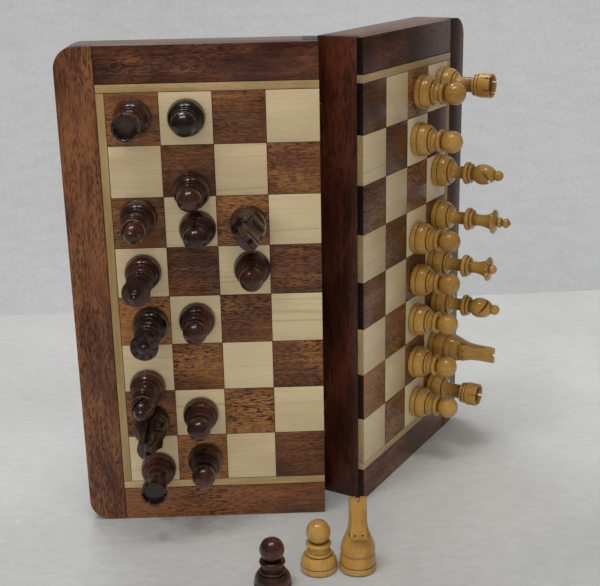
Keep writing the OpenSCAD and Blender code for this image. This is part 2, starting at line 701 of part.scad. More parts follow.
left_border_rails();
left_inlay_strips();
left_dark_squares();
left_light_squares();
left_steel_sheet();
left_backing_panel();
left_hinge_wall();
left_tray_walls();
left_insert();
right_border_rails();
right_inlay_strips();
right_dark_squares();
right_light_squares();
right_steel_sheet();
right_backing_panel();
right_hinge_wall();
right_tray_walls();
right_insert();
left_hinge_leaves();
right_hinge_leaves();
left_hinge_pins();  // hinge_pins
left_hinge_screws();
right_hinge_screws();
left_closing_magnets();
right_closing_magnets();
dark_set("rook_1");  // dark_rook_1
dark_set("rook_2");  // dark_rook_2
dark_set("knight_1");  // dark_knight_1
dark_set("knight_2");  // dark_knight_2
dark_set("bishop_1");  // dark_bishop_1
dark_set("bishop_2");  // dark_bishop_2
dark_set("queen");  // dark_queen
dark_set("king");  // dark_king
dark_set("pawn_1");  // dark_pawn_1
dark_set("pawn_2");  // dark_pawn_2
dark_set("pawn_3");  // dark_pawn_3
dark_set("pawn_4");  // dark_pawn_4
dark_set("pawn_5");  // dark_pawn_5
dark_set("pawn_6");  // dark_pawn_6
dark_set("pawn_7");  // dark_pawn_7
dark_set("pawn_8");  // dark_pawn_8
light_set("rook_1");  // light_rook_1
light_set("rook_2");  // light_rook_2
light_set("knight_1");  // light_knight_1
light_set("knight_2");  // light_knight_2
light_set("bishop_1");  // light_bishop_1
light_set("bishop_2");  // light_bishop_2
light_set("queen");  // light_queen
light_set("king");  // light_king
light_set("pawn_1");  // light_pawn_1
light_set("pawn_2");  // light_pawn_2
light_set("pawn_3");  // light_pawn_3
light_set("pawn_4");  // light_pawn_4
light_set("pawn_5");  // light_pawn_5
light_set("pawn_6");  // light_pawn_6
light_set("pawn_7");  // light_pawn_7
light_set("pawn_8");  // light_pawn_8
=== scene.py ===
"""Looks of a folding chess box: two hinged wooden trays with a playing face outside, and its set of pieces."""

import logging
import math
import random
from dataclasses import dataclass, field
from enum import Enum
from typing import Optional, Sequence

import bpy
import numpy as np
from mathutils import Matrix, Vector


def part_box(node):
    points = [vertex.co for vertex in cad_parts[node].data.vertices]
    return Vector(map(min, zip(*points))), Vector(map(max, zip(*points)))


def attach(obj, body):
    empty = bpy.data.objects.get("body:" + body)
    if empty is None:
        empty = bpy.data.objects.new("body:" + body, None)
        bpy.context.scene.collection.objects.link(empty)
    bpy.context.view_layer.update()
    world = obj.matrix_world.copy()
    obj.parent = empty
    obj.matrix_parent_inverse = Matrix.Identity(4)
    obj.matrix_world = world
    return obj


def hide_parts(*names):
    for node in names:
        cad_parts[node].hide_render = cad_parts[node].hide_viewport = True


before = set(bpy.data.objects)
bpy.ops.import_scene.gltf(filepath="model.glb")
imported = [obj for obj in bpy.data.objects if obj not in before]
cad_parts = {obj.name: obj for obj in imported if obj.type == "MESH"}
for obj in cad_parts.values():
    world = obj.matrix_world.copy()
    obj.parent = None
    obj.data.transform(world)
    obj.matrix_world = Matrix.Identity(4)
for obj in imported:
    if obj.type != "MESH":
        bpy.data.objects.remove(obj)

log = logging.getLogger("chess_box")
MM = 0.001
DOUBLE = 1e-6
FLAT = math.radians(0.5)
Point = tuple[float, float]
Colour = tuple[float, float, float]
Obj = bpy.types.Object
Material = bpy.types.Material
Socket = bpy.types.NodeSocket


def srgb(code: str) -> Colour:
    """Returns a colour written as six hexadecimal digits in linear light.

    Args:
        code: the colour as a screen shows it.

    Returns:
        The three linear parts.
    """
    parts = [int(code[i : i + 2], 16) / 255 for i in (0, 2, 4)]
    return tuple(p / 12.92 if p <= 0.04045 else ((p + 0.055) / 1.055) ** 2.4 for p in parts)


def about(degrees: float, axis: str = "Z") -> Matrix:
    """Returns the matrix of a turn about an axis."""
    return Matrix.Rotation(math.radians(degrees), 4, axis)


class Side(Enum):
    """The two halves of the box."""

    LEFT = "left"
    RIGHT = "right"


@dataclass(frozen=True)
class BoardSizes:
    """Sizes of one half in millimetres, as the CAD model has them."""

    square: float = 26.0
    rows: int = 8
    columns: int = 4
    border: float = 22.7
    strip: float = 4.2
    end_rail: float = 18.5
    width: float = 127.5
    height: float = 253.4
    depth: float = 26.0
    seam: float = 0.3
    panel: float = 3.5
    hinge_gap: float = 0.15
    fold: float = 57.8

    @property
    def field_w(self) -> float:
        """Width of the squares together."""
        return self.columns * self.square

    def place(self, side: Side) -> Matrix:
        """Returns the matrix from a half's own millimetres to the row frame.

        Args:
            side: which half; x runs from its hinge edge, y from its face, z up.

        Returns:
            The matrix, with the scale to metres in it.
        """
        hinge = ((self.width / 2 + self.hinge_gap) * MM, (self.depth / 2 + self.hinge_gap) * MM, 0)
        turn = Matrix.Scale(-1, 4, (1, 0, 0)) if side is Side.LEFT else about(self.fold)
        own = Matrix.Translation((self.hinge_gap, -self.hinge_gap - self.depth, 0))
        return Matrix.Translation(hinge) @ turn @ Matrix.Scale(MM, 4) @ own


SIZES = BoardSizes()


class Bench:
    """Runs Blender's operators on one object at a time."""

    @staticmethod
    def clear() -> None:
        """Leaves edit mode and deselects everything."""
        if bpy.context.object and bpy.context.object.mode != "OBJECT":
            bpy.ops.object.mode_set(mode="OBJECT")
        bpy.ops.object.select_all(action="DESELECT")

    @staticmethod
    def take(obj: Obj) -> None:
        """Makes an object the only selected one and the active one.

        Args:
            obj: the object.
        """
        Bench.clear()
        obj.select_set(True)
        bpy.context.view_layer.objects.active = obj

    @staticmethod
    def edit(obj: Obj) -> None:
        """Enters edit mode with the whole mesh selected.

        Args:
            obj: the mesh object.
        """
        Bench.take(obj)
        bpy.ops.object.mode_set(mode="EDIT")
        bpy.ops.mesh.select_mode(type="VERT")
        bpy.ops.mesh.select_all(action="SELECT")

    @staticmethod
    def added(name: str, size: Sequence[float] = (1, 1, 1)) -> Obj:
        """Names the object that was just added, and puts its place, turn and size into its mesh.

        Args:
            name: its name.
            size: how much it is stretched first.

        Returns:
            The object.
        """
        obj = bpy.context.object
        obj.name = obj.data.name = name
        obj.scale = size
        Bench.take(obj)
        bpy.ops.object.transform_apply(location=True, rotation=True, scale=True)
        return obj

    @staticmethod
    def hang(name: str, data: bpy.types.ID) -> Obj:
        """Adds an object to the scene.

        Args:
            name: its name.
            data: its mesh, camera or lamp.

        Returns:
            The object.
        """
        obj = bpy.data.objects.new(name, data)
        bpy.context.scene.collection.objects.link(obj)
        return obj

    @staticmethod
    def dress(obj: Obj, *materials: Material) -> None:
        """Gives an object its materials, in place of those that it had.

        Args:
            obj: the mesh object.
            *materials: its new materials.
        """
        obj.data.materials.clear()
        for material in materials:
            obj.data.materials.append(material)

    @staticmethod
    def put(obj: Obj, place: Matrix) -> None:
        """Moves a mesh, and keeps its faces outwards where the move mirrors it.

        Args:
            obj: the mesh object.
            place: the move.
        """
        obj.data.transform(place)
        if place.determinant() < 0:
            obj.data.flip_normals()

    @staticmethod
    def block(name: str, low: Sequence[float], high: Sequence[float]) -> Obj:
        """Adds a block between two corners.

        Args:
            name: the object's name.
            low: the lowest corner, in the units the piece is built in.
            high: the highest corner.

        Returns:
            The new object, with its place in its mesh.
        """
        Bench.clear()
        centre = [(a + b) / 2 for a, b in zip(low, high)]
        bpy.ops.mesh.primitive_cube_add(size=1, location=centre)
        return Bench.added(name, [b - a for a, b in zip(low, high)])

    @staticmethod
    def trace(name: str, points: Sequence[Sequence[float]]) -> Obj:
        """Draws a chain of edges point by point, and leaves it in edit mode with all of it selected.

        Args:
            name: the object's name.
            points: the chain's places.

        Returns:
            The new object.
        """
        Bench.clear()
        bpy.ops.mesh.primitive_plane_add(size=0.1, location=points[0])
        obj = Bench.added(name)
        Bench.edit(obj)
        bpy.ops.mesh.merge(type="CENTER")
        for a, b in zip(points, points[1:]):
            step = [q - p for p, q in zip(a, b)]
            bpy.ops.mesh.extrude_vertices_move(TRANSFORM_OT_translate={"value": step})
        bpy.ops.mesh.select_all(action="SELECT")
        return obj

    @staticmethod
    def prism(name: str, outline: Sequence[Point], reach: float = 12) -> Obj:
        """Fills an outline seen from the side, as places forward and up, and pulls it out across.

        Args:
            name: the object's name.
            outline: its corners; forward is -y.
            reach: how far it goes to each side.

        Returns:
            The closed prism.
        """
        obj = Bench.trace(name, [(-reach, -forward, up) for forward, up in outline])
        bpy.ops.mesh.edge_face_add()
        bpy.ops.mesh.extrude_region_move(TRANSFORM_OT_translate={"value": (2 * reach, 0, 0)})
        Bench.close(DOUBLE)
        return obj

    @staticmethod
    def rod(name: str, at: Sequence[float], radius: float, length: float, axis: str) -> Obj:
        """Adds a thin round cutter along x or y.

        Args:
            name: the object's name.
            at: its middle.
            radius: its radius.
            length: its length.
            axis: "X" or "Y".

        Returns:
            The cutter, with its place in its mesh.
        """
        Bench.clear()
        turn = (0, math.pi / 2, 0) if axis == "X" else (math.pi / 2, 0, 0)
        bpy.ops.mesh.primitive_cylinder_add(vertices=24, radius=radius, depth=length, location=at, rotation=turn)
        return Bench.added(name)

    @staticmethod
    def modify(obj: Obj, kind: str, **settings: object) -> None:
        """Adds a modifier with its settings and applies it.

        Args:
            obj: the mesh object.
            kind: Blender's name of the modifier.
            **settings: its settings.
        """
        Bench.take(obj)
        modifier = obj.modifiers.new(kind.lower(), kind)
        for key, value in settings.items():
            setattr(modifier, key, value)
        bpy.ops.object.modifier_apply(modifier=modifier.name)

    @staticmethod
    def cut(obj: Obj, tool: Obj, how: str = "DIFFERENCE") -> None:
        """Cuts or joins a mesh with another one, which is then deleted."""
        Bench.modify(obj, "BOOLEAN", operation=how, object=tool, solver="EXACT")
        bpy.data.objects.remove(tool)

    @staticmethod
    def close(distance: float) -> None:
        """Merges the doubled points of the mesh in edit mode, turns its faces outwards and leaves edit mode.

        Args:
            distance: how far apart doubled points may lie.
        """
        bpy.ops.mesh.select_all(action="SELECT")
        bpy.ops.mesh.remove_doubles(threshold=distance)
        bpy.ops.mesh.normals_make_consistent(inside=False)
        Bench.clear()

    @staticmethod
    def smooth(obj: Obj, angle: float) -> None:
        """Shades obj smooth, apart from edges sharper than an angle in degrees."""
        Bench.take(obj)
        bpy.ops.object.shade_smooth_by_angle(angle=math.radians(angle))

    @staticmethod
    def merged_copy(node: str, name: str, flat: bool = True) -> Obj:
        """Copies a CAD node as a merged mesh that can be worked on.

        Args:
            node: the CAD node's name.
            name: the new object's name.
            flat: whether triangles in one plane become one face.

        Returns:
            The copy, in the row frame.
        """
        obj = Bench.hang(name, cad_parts[node].data.copy())
        obj.data.name = name
        Bench.dress(obj)
        Bench.edit(obj)
        bpy.ops.mesh.customdata_custom_splitnormals_clear()
        bpy.ops.mesh.remove_doubles(threshold=DOUBLE)
        if flat:
            bpy.ops.mesh.dissolve_limited(angle_limit=FLAT)
        Bench.clear()
        return obj


def read(items: bpy.types.bpy_prop_collection, name: str, width: int, kind: type = np.float32) -> np.ndarray:
    """Reads one property of all of a mesh's points, edges or faces.

    Args:
        items: the points, edges or faces.
        name: the property's name.
        width: how many numbers it has.
        kind: what numbers they are.

    Returns:
        A row of numbers for each item.
    """
    flat = np.zeros(len(items) * width, kind)
    items.foreach_get(name, flat)
    return flat.reshape(-1, width)


def points_of(obj: Obj) -> np.ndarray:
    """Returns the mesh's points as rows of x, y, z."""
    return read(obj.data.vertices, "co", 3).astype(float)


def mark(obj: Obj, name: str, values: np.ndarray) -> None:
    """Stores a number or a vector at each point of a mesh.

    Args:
        obj: the mesh object.
        name: the attribute's name, which a material reads.
        values: one number or one vector a point.
    """
    vector = values.ndim == 2
    store = obj.data.attributes.new(name, "FLOAT_VECTOR" if vector else "FLOAT", "POINT")
    store.data.foreach_set("vector" if vector else "value", values.astype(np.float32).ravel())


class Nodes:
    """Builds one tree of shader nodes."""

    def __init__(self, tree: bpy.types.NodeTree) -> None:
        """Starts with an empty tree."""
        self.tree = tree
        tree.nodes.clear()

    def add(self, kind: str, *inputs: object, **settings: object) -> bpy.types.ShaderNode:
        """Adds a node.

        Args:
            kind: Blender's name of the node.
            *inputs: sockets or constants for its first inputs.
            **settings: its properties.

        Returns:
            The node.
        """
        node = self.tree.nodes.new(kind)
        for key, value in settings.items():
            setattr(node, key, value)
        for slot, value in zip(node.inputs, inputs):
            self.feed(slot, value)
        return node

    def feed(self, slot: Socket, value: object) -> None:
        """Links an output to an input, or sets the input to a constant.

        Args:
            slot: the input.
            value: the output, or the constant.
        """
        if isinstance(value, Socket):
            self.tree.links.new(value, slot)
        elif slot.type == "RGBA":
            slot.default_value = (*value, 1)
        else:
            slot.default_value = value

    def fill(self, node: bpy.types.ShaderNode, **values: object) -> bpy.types.ShaderNode:
        """Feeds a node's inputs by name.

        Args:
            node: the node.
            **values: a socket or constant for each name, in which _ stands for a space.

        Returns:
            The node.
        """
        for name, value in values.items():
            self.feed(node.inputs[name.replace("_", " ")], value)
        return node

    def maths(self, how: str, *values: object) -> Socket:
        """Does sums on sockets or numbers."""
        return self.add("ShaderNodeMath", *values, operation=how).outputs[0]

    def stretch(self, vector: Socket, by: Sequence[float]) -> Socket:
        """Multiplies a vector part by part."""
        return self.add("ShaderNodeVectorMath", vector, by, operation="MULTIPLY").outputs[0]

    def parts(self, vector: Socket) -> Sequence[Socket]:
        """Splits a vector into its three numbers."""
        return self.add("ShaderNodeSeparateXYZ", vector).outputs

    def noise(self, vector: Socket, scale: float, detail: float = 2, rough: float = 0.5) -> Socket:
        """Returns a noise texture on a vector."""
        node = self.add("ShaderNodeTexNoise")
        return self.fill(node, Vector=vector, Scale=scale, Detail=detail, Roughness=rough).outputs["Fac"]

    def steps(self, factor: Socket, *stops: tuple[float, Colour]) -> Socket:
        """Maps a number to colours.

        Args:
            factor: the number.
            *stops: places and their colours.

        Returns:
            The colour socket.
        """
        node = self.add("ShaderNodeValToRGB", factor)
        ramp = node.color_ramp
        while len(ramp.elements) < len(stops):
            ramp.elements.new(0.5)
        for element, (place, colour) in zip(ramp.elements, stops):
            element.position = place
            element.color = (*colour, 1)
        return node.outputs[0]

    def span(self, value: Socket, low: float, high: float, to: Point = (0.0, 1.0)) -> Socket:
        """Maps a range of a number to another range and clamps it."""
        return self.add("ShaderNodeMapRange", value, low, high, *to, clamp=True).outputs[0]

    def mix(self, factor: object, a: object, b: object, how: str = "MIX") -> Socket:
        """Mixes two colours.

        Args:
            factor: how much of the second one comes in, from 0 to 1.
            a: the first colour.
            b: the second colour.
            how: Blender's name of the way of mixing.

        Returns:
            The mixed colour.
        """
        node = self.add("ShaderNodeMix", factor, data_type="RGBA", blend_type=how)
        for slot, colour in zip(node.inputs[6:8], (a, b)):
            self.feed(slot, colour)
        return node.outputs[2]


class Paint(Nodes):
    """Builds one material."""

    def __init__(self, name: str) -> None:
        """Starts a material with its shader and output.

        Args:
            name: the material's name.
        """
        self.material = bpy.data.materials.new(name)
        self.material.use_nodes = True
        super().__init__(self.material.node_tree)
        self.shader = self.add("ShaderNodeBsdfPrincipled")
        self.add("ShaderNodeOutputMaterial", self.shader.outputs[0])

    def set(self, **values: object) -> None:
        """Feeds the shader's own inputs; _ in a name stands for a space."""
        self.fill(self.shader, **values)

    def here(self) -> Socket:
        """Returns the place on the object, in metres."""
        return self.add("ShaderNodeTexCoord").outputs["Object"]

    def attribute(self, name: str, vector: bool = True) -> Socket:
        """Reads an attribute of the mesh."""
        node = self.add("ShaderNodeAttribute", attribute_name=name)
        return node.outputs["Vector" if vector else "Fac"]

    def bump(self, height: Socket, strength: float, distance: float) -> None:
        """Gives the shader a bump from a height."""
        node = self.fill(self.add("ShaderNodeBump"), Strength=strength, Distance=distance, Height=height)
        self.set(Normal=node.outputs[0])


@dataclass(frozen=True)
class Wood:
    """A lacquered wood: its dark, middle, light and pore colours, and the size of its grain in millimetres."""

    name: str
    colours: str
    # Strength of the pores, the slow patches, the streaks and the board's own tone
    pores: float
    patch: float = 0.8
    streak: float = 0.7
    tone: float = 0.5
    # How far the grain bends, the length and thickness of its dashes, and the strength of its year rings
    warp: float = 4.0
    dash: Point = (3.4, 0.85)
    line: float = 0.0
    roughness: float = 0.42
    specular: float = 0.3
    coat: float = 0.25
    coat_roughness: float = 0.15
    bump: float = 0.25
    # Colour of the painted shade in each groove, slit and hollow, which the groove attribute mixes in
    groove: str = ""

    def grain(self, p: Paint) -> Socket:
        """Bends the grain a little by a slow figure.

        Args:
            p: the material's paint.

        Returns:
            The place in the grain, which runs along x.
        """
        at = p.attribute("grain_at")
        figure = p.fill(p.add("ShaderNodeTexNoise"), Vector=p.stretch(at, (0.3, 1, 1)), Scale=0.07)
        bend = (figure.outputs["Color"], (0, self.warp, self.warp), at)
        return p.add("ShaderNodeVectorMath", *bend, operation="MULTIPLY_ADD").outputs[0]

    def build(self) -> Material:
        """Builds the wood.

        Returns:
            The material.
        """
        dark, middle, light, pore = (srgb(code) for code in self.colours.split())
        p = Paint(self.name)
        grain = self.grain(p)
        length, thick = self.dash
        # Each layer of noise: its size along the grain, then its scale, detail and roughness
        patch, streak, fibre, dashes, pores, crowd = (
            p.noise(p.stretch(grain, (along, 1, 1)), *look)
            for along, *look in (
                (0.45, 0.055, 2, 0.5), (0.05, 0.55, 4, 0.62), (0.12, 2.6, 2, 0.6),
                (thick / length, 1 / thick, 1.5, 0.45), (0.2, 4.5, 1, 0.4), (0.4, 0.04, 1, 0.5),
            )
        )
        blend = 0.5
        for part, weight in (
            (patch, 2.2 * self.patch), (streak, 1.5 * self.streak), (fibre, 0.6 * self.streak),
            (p.attribute("tone", vector=False), self.tone),
        ):
            blend = p.maths("MULTIPLY_ADD", p.maths("SUBTRACT", part, 0.5), weight, blend)
        colour = p.steps(blend, (0.1, dark), (0.5, middle), (0.9, light))
        crowd = p.span(crowd, 0.36, 0.6, (0.45 * self.pores, self.pores))
        marks = p.maths("MAXIMUM", p.span(dashes, 0.5, 0.57), p.maths("MULTIPLY", p.span(pores, 0.56, 0.68), 0.6))
        marks = p.maths("MULTIPLY", marks, crowd)
        colour = p.mix(marks, colour, pore)
        if self.line:
            rings = p.noise(p.stretch(grain, (0.006, 1, 1)), 0.06, 0.5, 0.3)
            rings = p.maths("ABSOLUTE", p.maths("SUBTRACT", rings, 0.5))
            rings = p.span(rings, 0.0, 0.006, (1.0, 0.0))
            colour = p.mix(p.maths("MULTIPLY", rings, self.line), colour, pore)
        # Painted shade: darker towards the groove colour where a groove, slit or hollow lies
        if self.groove:
            colour = p.mix(p.attribute("groove", vector=False), colour, srgb(self.groove))
        rough = p.span(streak, 0.3, 0.7, (self.roughness - 0.06, self.roughness + 0.08))
        p.set(Base_Color=colour, Roughness=rough, Specular_IOR_Level=self.specular)
        p.set(Coat_Weight=self.coat, Coat_Roughness=self.coat_roughness)
        height = p.maths("MULTIPLY_ADD", marks, -1.0, p.maths("MULTIPLY", fibre, 0.35))
        p.bump(height, self.bump, 0.00006)
        return p.material


@dataclass(frozen=True)
class Metal:
    """A metal with fine marks, on object coordinates."""

    name: str
    colour: Colour
    roughness: float

    def build(self) -> Material:
        """Builds the metal.

        Returns:
            The material.
        """
        p = Paint(self.name)
        at = p.here()
        marks = p.noise(p.stretch(at, (1, 1, 0.08)), 2600, 3, 0.6)
        stain = p.noise(at, 240)
        dull = tuple(c * 0.62 for c in self.colour)
        rough = p.span(marks, 0.3, 0.7, (self.roughness - 0.05, self.roughness + 0.12))
        p.set(Base_Color=p.mix(p.span(stain, 0.35, 0.75), self.colour, dull), Roughness=rough, Metallic=1.0)
        p.bump(marks, 0.15, 0.00003)
        return p.material


@dataclass(frozen=True)
class Velvet:
    """Short pile cloth with a painted sheen, on object coordinates."""

    name: str
    colour: Colour
    sheen: Colour
    sheen_weight: float = 0.6

    def build(self) -> Material:
        """Builds the cloth.

        Returns:
            The material.
        """
        p = Paint(self.name)
        at = p.here()
        pile = p.noise(at, 3000, 2, 0.7)
        brushed = p.noise(at, 45, 3, 0.55)
        deep = tuple(c * 0.55 for c in self.colour)
        colour = p.mix(p.span(brushed, 0.35, 0.65), deep, self.colour)
        # Painted sheen: the sheen colour mixed into the base colour where the pile noise is high, besides the shader's
        # own sheen
        colour = p.mix(p.span(pile, 0.35, 0.7, (0.0, 0.5)), colour, self.sheen)
        p.set(Base_Color=colour, Roughness=0.9, Sheen_Weight=self.sheen_weight, Sheen_Roughness=0.4,
              Sheen_Tint=self.sheen)
        p.bump(pile, 0.5, 0.0002)
        return p.material


class Finishes:
    """Every finish of the box, built once and kept by name."""

    woods = (
        Wood("rail_wood", "38190f 5e3521 865432 1f0d06", 0.8, tone=0.6, dash=(3.6, 0.6), warp=9.0),
        Wood("rail_end", "120906 1c0e09 2c1710 0c0604", 0.5, coat=0.0),
        Wood("square_dark", "4c2b1a 74482a 9e6a3a 1e0d06", 0.9, tone=0.75, patch=0.6, dash=(3.2, 0.55)),
        Wood("square_dark_end", "0c0705 140b08 21120d 080403", 0.5, coat=0.0),
        Wood("square_light", "bba481 cdb892 d6c4a2 927a52", 0.07, patch=0.35, streak=0.35, warp=1.2, line=0.45,
             tone=0.4, bump=0.08),
        Wood("strip_light", "93784c ab8f61 bea377 73592f", 0.15, patch=0.5, warp=0.8, tone=0.3, bump=0.08),
        Wood("light_end", "7d6646 947d58 a8916a 5c4526", 0.3, patch=0.5),
        Wood("hinge_wall_wood", "2c120a 482214 5f301d 180805", 0.6, tone=0.2, dash=(6.0, 0.8)),
        Wood("tray_wood", "3c2013 613b23 7d5234 26130b", 0.5, tone=0.25),
        Wood("ply_wood", "a07f55 b8966a c9aa7e 7a5c3a", 0.3, coat=0.0),
        # The pieces' groove colours are the painted shade in their recesses
        Wood("piece_dark", "150907 301811 56291b 0c0504", 0.5, tone=0.3, dash=(2.5, 0.6), roughness=0.36, coat=0.8,
             coat_roughness=0.16, groove="060302"),
        Wood("piece_light", "8a6124 a77c37 bb924c 6b4a16", 0.12, patch=0.5, streak=0.5, dash=(2.5, 0.6), tone=0.3,
             roughness=0.38, coat=0.8, coat_roughness=0.16, groove="4a2c0e"),
    )
    metals = (
        Metal("brass", srgb("c9a35a"), 0.28),
        Metal("screw_brass", srgb("d0ac62"), 0.22),
        Metal("steel", srgb("8b8d90"), 0.35),
        Metal("nickel", srgb("c2c2c4"), 0.2),
    )
    cloths = (
        Velvet("green_velvet", srgb("173a2a"), srgb("3c6a52")),
        Velvet("felt", srgb("2c4a3a"), srgb("4d6e5c"), 0.3),
    )

    def __init__(self) -> None:
        """Builds the materials."""
        self.made = {f.name: f.build() for f in (*self.woods, *self.metals, *self.cloths)}
        self.made["glue"] = self.glue()

    @staticmethod
    def glue() -> Material:
        """Builds the dark glue in the joints between the boards.

        Returns:
            The material.
        """
        p = Paint("glue")
        p.set(Base_Color=p.mix(p.noise(p.here(), 900), srgb("2a160d"), srgb("4a2b1a")), Roughness=0.6)
        return p.material

    def __getitem__(self, name: str) -> Material:
        """Returns a material by its name."""
        return self.made[name]


def finish_piece(obj: Obj, body: str, nodes: Sequence[str]) -> None:
    """Attaches a piece to the body that it rides on, hides the CAD nodes that it stands for and logs its triangles.

    Args:
        obj: the piece, in the row frame.
        body: the CAD body.
        nodes: the CAD nodes that it stands for.
    """
    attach(obj, body)
    if nodes:
        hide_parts(*nodes)
    obj.data.calc_loop_triangles()
    log.info("%s: %d triangles on %s", obj.name, len(obj.data.loop_triangles), body)


@dataclass(frozen=True)
class BoardKind:
    """How one node is worked: its finish, its cut ends, the left and right half's random seeds, its edges."""

    node: str
    face: str
    end: str
    slot: str
    seeds: tuple[int, int]
    edge: float = 0.08
    level: bool = False


# The seeds are those whose random board tones came nearest to the brightness measured on each board, so each board's
# tone also takes in the light and shade measured on it
KINDS = (
    BoardKind("border_rails", "rail_wood", "rail_end", "rail_wood", (3475, 769), 0.4),
    BoardKind("inlay_strips", "strip_light", "light_end", "strip_wood", (18, 60)),
    BoardKind("dark_squares", "square_dark", "square_dark_end", "dark_square_wood", (16855, 23799), level=True),
    BoardKind("light_squares", "square_light", "light_end", "light_square_wood", (15679, 53208), level=True),
    BoardKind("backing_panel", "ply_wood", "ply_wood", "plywood", (39, 81)),
    BoardKind("hinge_wall", "hinge_wall_wood", "rail_end", "wall_wood", (46, 88), 0.4),
    BoardKind("tray_walls", "tray_wood", "rail_end", "rail_wood", (53, 95), 0.4),
)


def islands(obj: Obj) -> np.ndarray:
    """Numbers the separate solids of a mesh.

    Args:
        obj: the mesh object.

    Returns:
        The number of each point's solid.
    """
    a, b = read(obj.data.edges, "vertices", 2, np.int32).T
    labels = np.arange(len(obj.data.vertices))
    while True:
        low = np.minimum(labels[a], labels[b])
        found = labels.copy()
        np.minimum.at(found, a, low)
        np.minimum.at(found, b, low)
        found = found[found]
        if (found == labels).all():
            return np.unique(labels, return_inverse=True)[1]
        labels = found


